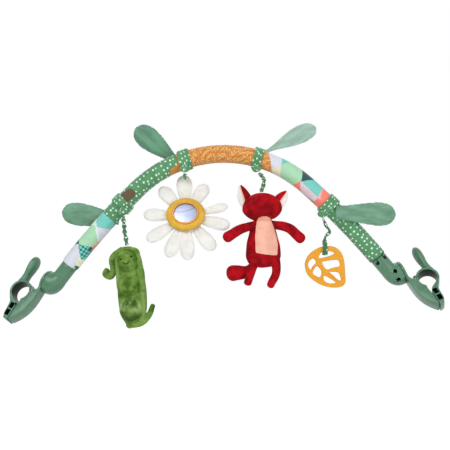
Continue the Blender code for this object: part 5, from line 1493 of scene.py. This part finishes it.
    def pockets(self):
        """Two pockets, one above the other, in each side of the jaw."""
        near, far = JAW_FACE + 0.0013, JAW_FACE + JAW_THICKNESS - 0.0013
        found = []
        for top in (-POCKET_TOP, -POCKET_TOP - POCKET_PITCH):
            box = ((near, top), (far, top), (far, top - POCKET_HEIGHT), (near, top - POCKET_HEIGHT))
            for side in (-1, 1):
                ends = sorted((side * CLIP_HALF * 1.4, side * (CLIP_HALF - POCKET_DEPTH)))
                found.append(object_from(prism(box, *ends), "pocket"))
        return found

    def build_spring(self, name, hub):
        low, high = KNUCKLE_SPAN[1] + 0.0008, CLIP_HALF - LUG_WIDTH - 0.0008
        turns, per_turn, radius = 4, 20, 0.0023
        points = [PIVOT + Vector((-radius, low, 0.0021))]
        for n in range(turns * per_turn + 1):
            a = math.tau * n / per_turn
            points.append(PIVOT + Vector((-radius * math.cos(a), low + (high - low) * n / (turns * per_turn),
                                          -radius * math.sin(a))))
        points.append(points[-1] + Vector((0.00035, 0, 0.0017)))
        stations = []
        for n, point in enumerate(points):
            along = direction(points, n)
            across = along.cross(Y_AXIS).normalized()
            stations.append(section(point, across, across.cross(along).normalized() * -1, 0.0004, 0.0004))
        spring = object_from(sweep(stations, 10), name)
        spring.data.transform(hub)
        return spring


class PLAYARCH_OT_ties(bpy.types.Operator):
    """Ribbon ties round the sleeve, their knots and the twisted tails that the toys hang from"""

    bl_idname = "play_arch.ties"
    bl_label = "Ribbon ties"

    def execute(self, context):
        finish = dotted_finish("Dotted ribbon", 0.0052)
        for index in range(len(TIE_SHARES)):
            show(self.band(index), "arch", "dotted_fabric", finish, f"tie_{index + 1}", smooth=None)
            for piece in self.knot(index):
                show(piece, "arch", "dotted_fabric", finish, smooth=None)
        # The straps' green is painted darker, at a share of 0.60: painted shade of their twists.
        ribbon_in_painted_shade = dotted_finish("Dotted ribbon with painted shade", 0.0052, painted_shade=0.60)
        for toy, index, places in (("pea", 0, PEA_TAIL), ("fox", 2, FOX_TAIL)):
            points = [knot_centre(index) + Vector((out, 0, -down)) for out, down in places]
            piece = self.twisted(f"strap_{toy}", points, 2.6, (0.0029, 0.0020))
            show(piece, f"{toy}_strap", "dotted_fabric", ribbon_in_painted_shade, f"tail_{toy}", smooth=None)
        show(self.teether_strap(), "teether_strap", "dotted_fabric", ribbon_in_painted_shade, "tail_teether", smooth=None)
        points = [knot_centre(1) + Vector((0, back, -down)) for back, down in DAISY_LOOP]
        loop = self.twisted("strap_daisy", points, 0.3)
        show(loop, "daisy_toy", "dotted_fabric", finish, "daisy_loop", smooth=None)
        return {"FINISHED"}

    def band(self, index):
        """Ribbon wound twice round the sleeve, creased, its edges rolled."""
        run, half = tie_run(index), sizes().tie_width / 2 * BAND_WIDTH_SHARES[index]
        bore = sizes().sleeve_radius + GAP
        start = index * 0.03
        shares = [n / 12 - 1 for n in range(25)]
        radii = []
        for share in shares:
            fold = 0.0003 * math.cos(share * math.pi * 3.0)
            radii.append(bore + (0.0014 + 0.0010 * math.sqrt(max(1 - share ** 6, 0)) + fold * (1 - share * share)))
        shares += [1, -1]
        radii += [bore, bore]
        stations = [arch_section(run + half * share, radius) for share, radius in zip(shares, radii)]
        bm = sweep(stations, 56, [half * share + start for share in shares], bore, ends=False)
        layer = bm.verts.layers.float_vector["cloth_place"]
        for vert in bm.verts:
            along, around, _ = vert[layer]
            outward = vert.co - curve_frame(run + along - start)[0]
            if outward.length > bore + 0.0008:
                crease = noise.noise(Vector((along / 0.0035, around / 0.011, index * 7.3)))
                vert.co += outward.normalized() * crease * 0.0005
        close_tube(bm)
        return object_from(bm, f"band_{index + 1}")

    def knot(self, index):
        """A gathered knot: a crumpled core with three turns of ribbon over it."""
        centre = knot_centre(index)
        core = ball(centre, (0.0064, 0.0052, 0.0052), 40, 24)
        crumple(core, 0.0026, 0.0011, index * 5.1)
        found = [object_from(core, f"knot_{index + 1}")]
        mark_places(found[0], lambda co: (co.x, co.z + co.y, 0.0))
        for n, (yaw, pitch, reach) in enumerate(KNOT_TURNS):
            turn = Matrix.Rotation(yaw + index, 3, "Z") @ Matrix.Rotation(pitch + index * 0.7, 3, "X")
            first, second = turn @ Z_AXIS, turn @ Y_AXIS
            stations = []
            for k in range(41):
                a = math.tau * k / 40
                outward = first * math.cos(a) + second * math.sin(a)
                wobble = 1 + 0.06 * math.sin(3 * a + index)
                stations.append(section(centre + outward * reach * wobble, outward, first.cross(second), 0.0009,
                                        0.0022 + 0.0004 * math.sin(2 * a)))
            bm = sweep(stations, 12, [0.0300 * k / 40 for k in range(41)], 0.0016, ends=False)
            bmesh.ops.remove_doubles(bm, verts=bm.verts, dist=WELD)
            crumple(bm, 0.0020, 0.0005, n + index * 3.0)
            bmesh.ops.recalc_face_normals(bm, faces=bm.faces)
            found.append(object_from(bm, f"knot_{index + 1}_turn_{n + 1}"))
        return found

    def ribbon(self, path, section_at, thin):
        """A ribbon swept along its path, thinned to a share of its size at both ends."""
        last = len(path) - 1
        stations, runs, run = [], [], 0.0
        for n, centre in enumerate(path):
            end = min(1.0, thin + 4 * min(n, last - n) / last)
            across, up, width, thick = section_at(n, direction(path, n))
            stations.append(section(centre, across, up, width * end, thick * end))
            runs.append(run)
            run += (path[min(n + 1, last)] - centre).length
        return sweep(stations, 16, runs, 0.0021)

    def twisted(self, name, points, turns, flat=(0.0025, 0.0015)):
        """Ribbon rolled and twisted along its path, swelling where it turns over."""
        path = smooth_path(points, 12)

        def section_at(n, along):
            first = along.cross(Y_AXIS)
            first = (first if first.length > 0.2 else along.cross(X_AXIS)).normalized()
            second = first.cross(along).normalized()
            angle = math.tau * turns * n / (len(path) - 1)
            across = first * math.cos(angle) + second * math.sin(angle)
            swell = 1 + 0.13 * math.sin(angle * 2)
            return across, along.cross(across).normalized(), flat[0] * swell, flat[1] * swell

        bm = self.ribbon(path, section_at, 0.70)
        crumple(bm, 0.0020, 0.0006, points[0].x * 100)
        return object_from(bm, name)

    def teether_strap(self):
        """Twisted above, then a flat loop over the teether's rim."""
        front = Vector((0, -(sizes().teether_thickness / 2 + 0.0004 + 0.0014), 0))
        rim, hang = teether_rim(), teether_hang()
        points = [knot_centre(3) + Vector((out, 0, -down)) for out, down in TEETHER_TAIL]
        points += [rim + front, hang + front, hang, hang - front, rim - front]
        flat_from = (len(TEETHER_TAIL) - 1) * 10

        def section_at(n, along):
            second = X_AXIS.cross(along).normalized()
            angle = math.tau * 1.5 * min(n / flat_from, 1.0)
            across = along.cross(second).normalized() * -math.cos(angle) + second * math.sin(angle)
            loop = min(max((n - flat_from + 4) / 6, 0), 1)
            return (across, along.cross(across).normalized(), 0.0024 + (0.0033 - 0.0024) * loop,
                    0.0015 + (0.0011 - 0.0015) * loop)

        return object_from(self.ribbon(smooth_path(points, 10), section_at, 0.5), "strap_teether")


def teether_hang():
    return knot_centre(3) + Vector((TEETHER_HANG[0], 0, -TEETHER_HANG[1]))


def teether_rim():
    return teether_hang() + Vector((0, 0, sizes().teether_height * (1 - TEETHER_HANG_SHARES[1])))


def rounded_shares(steps):
    """Shares of a run that lie closer together at both of its ends."""
    return [0.5 - 0.5 * math.cos(math.pi * n / steps) for n in range(steps + 1)]


def blade(length_of, width, thickness, runs, widths, steps=40, sides=24):
    """A slack flat pad along local X, pointed and rounded as its table says; local Z is its thickness."""
    stations = []
    for run in rounded_shares(steps):
        half = max(table_value(run, runs, widths) * width / 2, 0.0008)
        stations.append(section(X_AXIS * (length_of * run), Y_AXIS, Z_AXIS, half,
                                thickness / 2 * min(1.0, half / 0.004)))
    return sweep(stations, sides)


def clamped(value, low=0, high=1):
    return min(max(value, low), high)


class PLAYARCH_OT_leaves(bpy.types.Operator):
    """Four padded satin leaves sewn to the ties"""

    bl_idname = "play_arch.leaves"
    bl_label = "Leaves"

    def execute(self, context):
        long_side, wide = sizes().leaf_length, sizes().leaf_width
        for index, pale in enumerate(LEAF_PALE_SHARES):
            slack = blade(long_side * 0.99, wide * 1.04, sizes().leaf_thickness * 0.50, LEAF_RUN_SHARES,
                          LEAF_WIDTH_SHARES[index])
            leaf = object_from(slack, f"padded_leaf_{index + 1}")
            stuff(leaf, 0.0012, 0.0013, 5.0)
            self.press_midrib(leaf, LEAF_CREASES[index], long_side)
            self.ripple(leaf, index)
            tint = tuple(c + (p - c) * pale for c, p in zip(colours().leaf, srgb(196, 220, 212)))
            mark_places(leaf, lambda co: self.place_on_leaf(co, long_side, wide, index))
            leaf.data.transform(self.leaf_frame(index))
            finish = satin_finish(f"Leaf satin {index + 1}", tint, index * 1.7)
            show(leaf, "arch", "leaf_fabric", finish, f"leaf_{index + 1}", smooth=None)
        return {"FINISHED"}

    def press_midrib(self, leaf, depth, long_side):
        """Presses a line of stitching along local X into both faces of a leaf."""
        for vert in leaf.data.vertices:
            x, y, z = vert.co
            line = 0.0016 * math.sin(x / long_side * 5.0)
            fade = clamped((x / long_side) / 0.12) * clamped((0.97 - x / long_side) / 0.08)
            vert.co.z = z * (1 - depth * fade * math.exp(-((y - line) / 0.0030) ** 2))

    def ripple(self, leaf, index):
        """Soft waves all over the leaf."""
        for vert in leaf.data.vertices:
            x, y, z = vert.co
            vert.co.z = z + noise.noise(Vector((x / 0.030, y / 0.012, index * 3.7))) * 0.0009

    def place_on_leaf(self, co, long_side, wide, index):
        """Along and across the leaf, and how near its rim."""
        share = clamped(co.x / long_side)
        half = max(table_value(share, LEAF_RUN_SHARES, LEAF_WIDTH_SHARES[index]) * wide / 2, 0.001)
        return (co.x + index * 0.2, co.y, min(abs(co.y) / half, 1.0))

    def leaf_frame(self, index):
        centre, normal, _ = curve_frame(tie_run(index) + sizes().leaf_length * LEAF_SHIFT_SHARES[index])
        skin = sizes().sleeve_radius + (0.0027 if index in LEAVES_OVER_TIES else 0.0)
        reach = skin + 0.0004 + sizes().leaf_thickness * 0.31
        base = centre + (normal * LEAF_UP_SHARES[index] + Y_AXIS * LEAF_BACK_SHARES[index]) * reach
        along = heading_axes(LEAF_HEADINGS[index])[0]
        across = Matrix.Rotation(LEAF_ROLLS[index], 3, along) @ along.cross(Y_AXIS)
        return frame_of(base, along, across, along.cross(across))


class PLAYARCH_OT_daisy(bpy.types.Operator):
    """Ten padded petals, the yellow ring, the soft mirror and the back pad"""

    bl_idname = "play_arch.daisy"
    bl_label = "Daisy"

    def execute(self, context):
        hub = (Matrix.Translation(knot_centre(1) + Vector((DAISY_SIDE, 0, -DAISY_DROP)))
               @ Matrix.Rotation(-DAISY_LEAN, 4, "X"))
        plush = named_plush("White plush", "petal", 0.90, 0.25)
        for index, angle in enumerate(PETAL_ANGLES):
            petal = self.petal(index)
            layer = Matrix.Translation((0, 0.0004 * (index % 3 - 1), 0))
            petal.data.transform(hub @ layer @ Matrix.Rotation(-angle, 4, "Y"))
            show(petal, "daisy_toy", "white_plush", plush, "daisy_petals", smooth=None)
        middle = turned(DAISY_MIDDLE, 48, hub)
        show(object_from(middle, "daisy_middle"), "daisy_toy", "white_plush", plush, smooth=None)
        self.build_ring(hub)
        back = turned(DAISY_BACK, 56, hub)
        crumple(back, 0.006, 0.0003)
        piece = object_from(back, "daisy_back_pad")
        show(piece, "daisy_toy", "white_plush", plush, "daisy_back", smooth=None)
        return {"FINISHED"}

    def petal(self, index):
        reach = PETAL_REACH * PETAL_REACH_SHARES[index] - PETAL_ROOT
        slack = blade(reach, sizes().petal_width * 1.08 * PETAL_BROAD_SHARES[index], sizes().petal_thickness * 0.55,
                      PETAL_RUN_SHARES, PETAL_WIDTH_SHARES, 28, 20)
        petal = object_from(slack, f"petal_{index + 1}")
        stuff(petal, 0.0012, 0.0014, 5.0)
        for vert in petal.data.vertices:
            x, y, z = vert.co
            fade = clamped((0.62 - x / reach) / 0.3)
            dent = 0.42 * fade * math.exp(-((y - 0.0006 * math.sin(index)) / 0.0017) ** 2)
            wave = noise.noise(Vector((x / 0.018, y / 0.010, index * 4.1))) * 0.0006
            vert.co.z = z * (1 - dent) + wave
        petal.data.transform(Matrix.Translation((PETAL_ROOT, 0, 0)))
        petal.data.transform(Matrix.Rotation(math.pi / 2, 4, "X"))
        return petal

    def build_ring(self, hub):
        """Stuffed ring that leans in to a piped lip round the mirror."""
        oval, radius, hole, back = MIRROR_OVAL, sizes().ring_radius, sizes().mirror_radius + GAP, RING_BACK
        middle = (radius + hole) / 2
        profile = ((0.0, hole), (0.0, radius * 0.90), (0.0008, radius * 0.955), (0.0024, radius),
                   (0.0044, radius * 0.985), (0.0061, middle + 0.0030), (0.0073, middle + 0.0008),
                   (0.0075, middle - 0.0012), (0.0068, hole + 0.0012), (0.0058, hole + 0.0003), (0.0, hole))
        stations = [section(Y_AXIS * (back - front), Z_AXIS, X_AXIS, r * oval, r) for front, r in profile]
        bm = sweep(stations, 96, ends=False)
        weld(bm, 0.00002)
        ring = object_from(bm, "daisy_yellow_ring")
        subdivide(ring)
        for vert in ring.data.vertices:
            angle = math.atan2(vert.co.z / oval, vert.co.x)
            inner = math.exp(-((math.hypot(vert.co.x, vert.co.z / oval) - hole) / 0.0035) ** 2)
            vert.co.y += 0.00035 * inner * math.sin(angle * 24) + 0.0003 * noise.noise(vert.co / 0.006)
        ring.data.transform(hub)
        show(ring, "daisy_toy", "yellow_fabric", named_plush("Yellow plush", "ring", 0.82, 0.3), "daisy_ring",
             smooth=None)
        lip = named_plush("Piping", "lip", 0.85, 0.2)
        show(object_from(self.piping(hub, hole + 0.0006), "daisy_piping"), "daisy_toy", "yellow_fabric", lip,
             smooth=None)
        front = back - 0.0063
        radius = sizes().mirror_radius
        glass = turned(((front - 0.0004, 0.0010), (front - 0.0003, radius * 0.5), (front, radius * 0.9),
                        (front + 0.0002, radius), (front + 0.0020, radius)), 72, hub, oval)
        show(object_from(glass, "daisy_mirror_film"), "daisy_toy", "mirror_film",
             mirror_finish("Mirror film", hub.translation), "daisy_mirror", smooth=math.radians(60))

    def piping(self, hub, reach):
        stations = []
        for k in range(97):
            a = math.tau * k / 96
            outward = Vector((math.cos(a), 0, math.sin(a) * MIRROR_OVAL)).normalized()
            point = Vector((math.cos(a) * reach, RING_BACK - 0.0076, math.sin(a) * reach * MIRROR_OVAL))
            stations.append(section(point, outward, Y_AXIS, 0.0011 + 0.00008 * math.sin(a * 40), 0.0009))
        bm = sweep(stations, 12, ends=False)
        weld(bm)
        bmesh.ops.transform(bm, matrix=hub, verts=bm.verts)
        return bm


def limb(points, radii, steps=14, sides=32, bulge=0.0):
    """A stuffed limb along a smooth path with rounded ends; bulge swells its middle."""
    path = smooth_path(points, steps)
    last = len(path) - 1
    stations = []
    for n, centre in enumerate(path):
        along = direction(path, n)
        across = along.cross(Y_AXIS).normalized()
        depth = -across.cross(along).normalized()
        share = n / last
        radius = radii[0] + (radii[-1] - radii[0]) * share + bulge * math.sin(math.pi * share)
        if 0 < n < last:
            stations.append(section(centre, across, depth, radius, radius))
            continue
        inward = along if n == 0 else -along
        cap = []
        for k in range(7):
            a = math.pi / 2 * k / 7
            size = radius * (max(math.sin(a + 0.12), 0.1) if k else 0.10)
            cap.append(section(centre - inward * radius * math.cos(a), across, depth, size, size))
        stations += cap if n == 0 else cap[::-1]
    return sweep(stations, sides)


def plush_piece(bm, name, body, slot, finish, nodes, seed, depth=0.0005, size=0.011):
    """Crumples a stuffed form a little, as its filling does, and shows it."""
    crumple(bm, size, depth, seed)
    piece = object_from(bm, name)
    show(piece, body, slot, finish, *nodes, smooth=None)


def stitch(name, points, radius, body, slot, finish):
    """A short line of embroidery."""
    path = smooth_path(points, 6)
    stations = []
    for n, centre in enumerate(path):
        along = direction(path, n)
        across = along.cross(Y_AXIS).normalized()
        twist = 1 + 0.18 * math.sin(n * 1.9)
        stations.append(section(centre, across, along.cross(across), radius * twist, radius * 0.8))
    show(object_from(sweep(stations, 10), name), body, slot, finish, smooth=None)


def eye_bead(name, place, outward, rings, oval, body, slot, finish):
    """An embroidered eye: each ring is a height off the skin and a radius."""
    across = outward.cross(Z_AXIS).normalized()
    up = across.cross(outward).normalized()
    stations = [section(place + outward * height, across, up, radius, radius * oval) for height, radius in rings]
    show(object_from(sweep(stations, 20), name), body, slot, finish)


class PLAYARCH_OT_fox(bpy.types.Operator):
    """Plush fox: head, ears, body, belly, arms, legs and tail"""

    bl_idname = "play_arch.fox"
    bl_label = "Fox"

    def execute(self, context):
        centre = Vector(JOINTS["fox_sway"]["pos_m"]) - Vector((0, 0, FOX_HEAD.z))
        red = named_plush("Red plush", "fox", 0.42, 0.35)
        head = ball(centre, FOX_HEAD, 64, 40)
        for vert in head.verts:
            low = max(-(vert.co.z - centre.z) / FOX_HEAD.z, 0)
            vert.co.x = centre.x + (vert.co.x - centre.x) * (1 + 0.05 * math.sin(low * math.pi))
        self.build_part(head, "head", red, 1.0)
        self.build_part(self.trunk(centre, 0), "body", red, 2.0)
        self.build_belly(centre)
        for side in SIDES:
            self.build_part(self.limb_at(centre, ARM_PATH_SHARES[side], (0.0056, 0.0071)), f"arm_{side}", red, 3.0)
            self.build_part(self.limb_at(centre, LEG_PATH_SHARES[side], (0.0063, 0.0052)), f"leg_{side}", red, 4.0)
            self.build_ear(centre, side, red)
        self.build_part(self.limb_at(centre, FOX_TAIL_SHARES, (0.0048, 0.0108)), "tail", red, 5.0)
        thread = thread_finish("Dark thread", (0.012, 0.008, 0.010))
        rings = ((-0.0012, 0.0014), (0.0003, 0.0015), (0.0008, 0.0012), (0.0010, 0.0005))
        for n, (x, z) in enumerate(FOX_EYES):
            depth = FOX_HEAD.y * math.sqrt(max(1 - (x / FOX_HEAD.x) ** 2 - (z / FOX_HEAD.z) ** 2, 0))
            outward = Vector((x / FOX_HEAD.x ** 2, -depth / FOX_HEAD.y ** 2, z / FOX_HEAD.z ** 2)).normalized()
            eye_bead(f"fox_eye_{n + 1}", centre + Vector((x, -depth - 0.0002, z)), outward, rings, 0.85, "fox_toy",
                     "red_plush", thread)
        return {"FINISHED"}

    def build_part(self, bm, part, red, seed):
        plush_piece(bm, f"fox_plush_{part}", "fox_toy", "red_plush", red, [f"fox_{part}"], seed)

    def limb_at(self, centre, shares, radii):
        return limb([centre + Vector(p) * FOX_SIZE for p in shares], radii)

    def trunk(self, centre, grow):
        stations = []
        for run in rounded_shares(40):
            width = table_value(run, FOX_BODY_RUN_SHARES, FOX_BODY_WIDTH_SHARES) * FOX_BODY_HALF_WIDTH + grow
            depth = table_value(run, FOX_BODY_RUN_SHARES, FOX_BODY_DEPTH_SHARES) * FOX_BODY_HALF_DEPTH + grow
            middle = centre + Vector((0, 0, -FOX_NECK_DROP - FOX_BODY_LENGTH * run))
            stations.append(section(middle, Y_AXIS, X_AXIS, depth, width))
        return sweep(stations, 56)

    def build_belly(self, centre):
        """Peach panel sewn over the front, from the chin down, wider at the bottom and cut aslant."""
        grow = 0.0010
        patch = object_from(self.trunk(centre, grow), "fox_plush_belly")
        grown = ball(centre, FOX_HEAD + Vector((grow, grow, grow)), 64, 40)
        outline = [(centre.x + FOX_BODY_HALF_WIDTH * side, centre.z - FOX_BODY_LENGTH * down)
                   for side, down in BELLY_OUTLINE_SHARES]
        window = prism(outline, centre.y - 0.03, centre.y - 0.002)
        inner = (self.trunk(centre, 0.0), ball(centre, FOX_HEAD, 64, 40))
        for forms, operation in (((grown,), "UNION"), ((window,), "INTERSECT"), (inner, "DIFFERENCE")):
            combine(patch, [object_from(form, "form") for form in forms], operation)
        show(patch, "fox_toy", "peach_plush", named_plush("Peach plush", "belly", 0.86, 0.3), "fox_belly",
             smooth=math.radians(60))

    def build_ear(self, centre, side, red):
        """Inner half red, outer half white with a peach root, closed at the tip."""
        base, tip = (centre + Vector((x, 0, z)) * FOX_SIZE for x, z in (EAR_BASE_SHARES[side], EAR_TIP_SHARES[side]))
        across = (tip - base).normalized().cross(Y_AXIS)
        outward = across if across.x * (-1 if side == "left" else 1) > 0 else -across
        white = named_plush(f"Ear white {side}", "petal", 0.9, 0.2)
        parts = (("inner", -0.32, 1, "red_plush", red, [f"fox_ear_{side}"]),
                 ("lining", 0.20, 0.85, "peach_plush", bpy.data.materials["Peach plush"], []),
                 ("outer", 0.44, 0.85, "white_plush", white, []))
        for part, shift, thinned, slot, finish, nodes in parts:
            stations = []
            for n in range(22):
                run = n / 21
                width = 0.0084 * (math.sin(math.pi * (0.28 + 0.68 * run)) ** 0.8)
                thick = 0.0026 * (1 - 0.65 * run)
                middle = base.lerp(tip, run) + outward * width * shift
                stations.append(section(middle, outward, -Y_AXIS, max(width * 0.68, 0.0005),
                                        max(thick * thinned, 0.0005)))
            plush_piece(sweep(stations, 28), f"fox_ear_{side}_{part}", "fox_toy", slot, finish, nodes, 6.0, 0.0003)


class PLAYARCH_OT_pea(bpy.types.Operator):
    """Plush pea pod with three peas, a curl and a stem"""

    bl_idname = "play_arch.pea"
    bl_label = "Pea pod"

    def execute(self, context):
        top = Vector(JOINTS["pea_sway"]["pos_m"])
        green = plush_finish("Pea plush", tuple(colours().pea), tuple(colours().pea_shade), 0.16)
        light = plush_finish("Pod lip plush", srgb(126, 160, 82), srgb(84, 122, 44), 0.16)
        radii = [POD_HALF_WIDTH * share for share in PEA_RADIUS_SHARES]
        # The bottom pea's plush is paler, painted light on its top, and painted shade darkens it towards its bottom.
        low = top.z - POD_LENGTH * PEA_DROP_SHARES[2]
        pea_painted_light_and_shade = plush_finish("Bottom pea plush", srgb(150, 180, 106), srgb(52, 84, 22), 0.16, 1.2,
                              (low - radii[2] * 0.9, low + radii[2] * 0.35))
        self.build_part(self.pod(top), "plush_pod", green, ["pea_pod"], 1.0)
        centres = [top + Vector((POD_HALF_WIDTH * side, -0.0065, -POD_LENGTH * drop))
                   for side, drop in zip(PEA_SIDE_SHARES, PEA_DROP_SHARES)]
        for n, part in enumerate(("top", "middle", "bottom")):
            form = ball(centres[n], (radii[n], radii[n], radii[n] * 1.04), 56, 36)
            self.build_part(form, f"ball_{part}", pea_painted_light_and_shade if n == 2 else green, [f"pea_{part}"], 2.0 + n, 0.0008)
        self.build_part(self.lip(top), "pod_lip", light, [], 9.0, 0.0006)
        curl = limb([top + Vector(p) * POD_LENGTH + Vector((0, POD_BACK, 0)) for p in CURL_SHARES],
                    (0.0052, 0.0040), 10)
        self.build_part(curl, "plush_curl", green, ["pea_curl"], 7.0)
        stem = limb([top + Vector(p) * POD_LENGTH for p in STEM_SHARES], (0.0056, 0.0034), 10)
        self.build_part(stem, "plush_stem", green, ["pea_stem"], 8.0)
        self.build_face(centres[0], radii[0])
        return {"FINISHED"}

    def build_part(self, bm, part, finish, nodes, seed, depth=0.0005):
        plush_piece(bm, f"pea_{part}", "pea_toy", "pea_plush", finish, nodes, seed, depth)

    def pod_at(self, top, run):
        """Middle and width share of the pod at a share of its length."""
        middle = top + Vector((POD_DRIFT * math.sin(run * math.pi / 2), POD_BACK, -POD_LENGTH * run))
        return middle, table_value(run, POD_RUN_SHARES, POD_WIDTH_SHARES)

    def pod(self, top):
        stations = []
        for run in rounded_shares(50):
            middle, width = self.pod_at(top, run)
            stations.append(section(middle, Y_AXIS, X_AXIS, POD_HALF_DEPTH * width, POD_HALF_WIDTH * width))
        return sweep(stations, 56)

    def lip(self, top):
        """The pod's soft edge: a hood over the top pea that runs on down the right side."""
        points = []
        for sense, runs in ((-1, (0.50, 0.38, 0.25, 0.13, 0.055)), (1, (0.055, 0.13, 0.28, 0.48, 0.68, 0.84, 0.94))):
            for run in runs:
                middle, width = self.pod_at(top, run)
                points.append(middle + Vector((sense * POD_HALF_WIDTH * width * 0.78, -POD_HALF_DEPTH * width * 0.66,
                                               0)))
        return limb(points, (0.0030, 0.0044), 8, 20, 0.0012)

    def build_face(self, centre, radius):
        thread = thread_finish("Pea thread", (0.010, 0.016, 0.006))

        def on_pea(x, z, lift=0.0001):
            depth = math.sqrt(max(radius ** 2 - x ** 2 - z ** 2, 0))
            return centre + Vector((x, -depth, z)) * (1 + lift / radius)

        for n, (x, z, size) in enumerate(PEA_EYES):
            eye = on_pea(x, z)
            rings = ((-0.0010, size), (0.0004, size), (0.0008, 0.7 * size), (0.0010, 0.25 * size))
            eye_bead(f"pea_eye_{n + 1}", eye, (eye - centre).normalized(), rings, 1, "pea_toy", "pea_plush", thread)
        stitch("pea_smile", [on_pea(x, z, 0.0002) for x, z in PEA_SMILE], 0.00055, "pea_toy", "pea_plush", thread)


class PLAYARCH_OT_teether(bpy.types.Operator):
    """Leaf teether, moulded with openings between its veins"""

    bl_idname = "play_arch.teether"
    bl_label = "Teether"

    def execute(self, context):
        wide, tall, thick = sizes().teether_width, sizes().teether_height, sizes().teether_thickness
        curve = bpy.data.curves.new("teether outline", "CURVE")
        curve.dimensions = "2D"
        curve.fill_mode = "BOTH"
        curve.extrude = thick / 2 - TEETHER_ROUNDING
        curve.bevel_depth = TEETHER_ROUNDING
        curve.bevel_resolution = 4
        curve.offset = -TEETHER_ROUNDING * 0.55
        for n, outline in enumerate((TEETHER_OUTLINE_SHARES, *TEETHER_OPENING_SHARES)):
            corners = [Vector((across * wide, up * tall, 0)) for across, up in outline]
            middle = sum(corners, Vector()) / len(corners)
            grown = TEETHER_OPENING_GROWTH if n else 0.0
            points = smooth_path([p + (p - middle).normalized() * grown for p in corners], 6, closed=True)
            ring = curve.splines.new("POLY")
            ring.use_cyclic_u = True
            ring.points.add(len(points) - 1)
            for spot, point in zip(ring.points, points):
                spot.co = (*point, 1)
        drawn = bpy.data.objects.new("teether outline", curve)
        context.scene.collection.objects.link(drawn)
        graph = context.evaluated_depsgraph_get()
        graph.update()
        bm = bmesh.new()
        bm.from_mesh(bpy.data.meshes.new_from_object(drawn.evaluated_get(graph)))
        bpy.data.objects.remove(drawn, do_unlink=True)
        weld(bm, 0.00002)
        corner = teether_hang() - Vector((TEETHER_HANG_SHARES[0] * wide, 0, TEETHER_HANG_SHARES[1] * tall))
        bmesh.ops.transform(bm, matrix=Matrix.Translation(corner) @ Matrix.Rotation(math.pi / 2, 4, "X"),
                            verts=bm.verts)
        leaf = object_from(bm, "leaf_teether")
        combine(leaf, self.grooves(corner, wide, tall, thick), "DIFFERENCE")
        show(leaf, "teether_toy", "teether_silicone", silicone_finish("Orange silicone", tuple(colours().teether)),
             "teether", smooth=math.radians(40))
        return {"FINISHED"}

    def grooves(self, corner, wide, tall, thick):
        """A fine groove along the lower half of the midrib, on both faces."""
        found = []
        start, end = Vector((0.56, 0, 0.36)), Vector((0.80, 0, 0.135))
        along = Vector(((end.x - start.x) * wide, 0, (end.z - start.z) * tall)).normalized()
        for sense in (-1, 1):
            stations = []
            for n in range(9):
                spot = start.lerp(end, n / 8)
                centre = corner + Vector((spot.x * wide, sense * thick / 2, spot.z * tall))
                size = 0.0002 + 0.0005 * math.sin(math.pi * n / 8)
                stations.append(section(centre, along.cross(Y_AXIS), Y_AXIS, size, size * 1.2))
            found.append(object_from(sweep(stations, 12), "groove"))
        return found


STEPS = (PLAYARCH_OT_stage, PLAYARCH_OT_sleeve, PLAYARCH_OT_elbows, PLAYARCH_OT_clips, PLAYARCH_OT_ties,
         PLAYARCH_OT_leaves, PLAYARCH_OT_daisy, PLAYARCH_OT_fox, PLAYARCH_OT_pea, PLAYARCH_OT_teether)


class PLAYARCH_PT_panel(bpy.types.Panel):
    """Lists the pieces of the play arch"""

    bl_label = "Play Arch"
    bl_idname = "PLAYARCH_PT_panel"
    bl_space_type = "VIEW_3D"
    bl_region_type = "UI"
    bl_category = "Play Arch"

    def draw(self, context):
        for step in STEPS:
            self.layout.operator(step.bl_idname)
        for settings in (context.scene.play_arch_sizes, context.scene.play_arch_colours):
            box = self.layout.box()
            for name in settings.__annotations__:
                box.prop(settings, name)


CLASSES = (PlayArchSizes, PlayArchColours, *STEPS, PLAYARCH_PT_panel)


def register():
    for cls in CLASSES:
        bpy.utils.register_class(cls)
    bpy.types.Scene.play_arch_sizes = PointerProperty(type=PlayArchSizes)
    bpy.types.Scene.play_arch_colours = PointerProperty(type=PlayArchColours)


def unregister():
    del bpy.types.Scene.play_arch_sizes
    del bpy.types.Scene.play_arch_colours
    for cls in reversed(CLASSES):
        bpy.utils.unregister_class(cls)


def main():
    register()
    for step in STEPS:
        group, name = step.bl_idname.split(".")
        getattr(getattr(bpy.ops, group), name)()


if __name__ == "__main__":
    main()
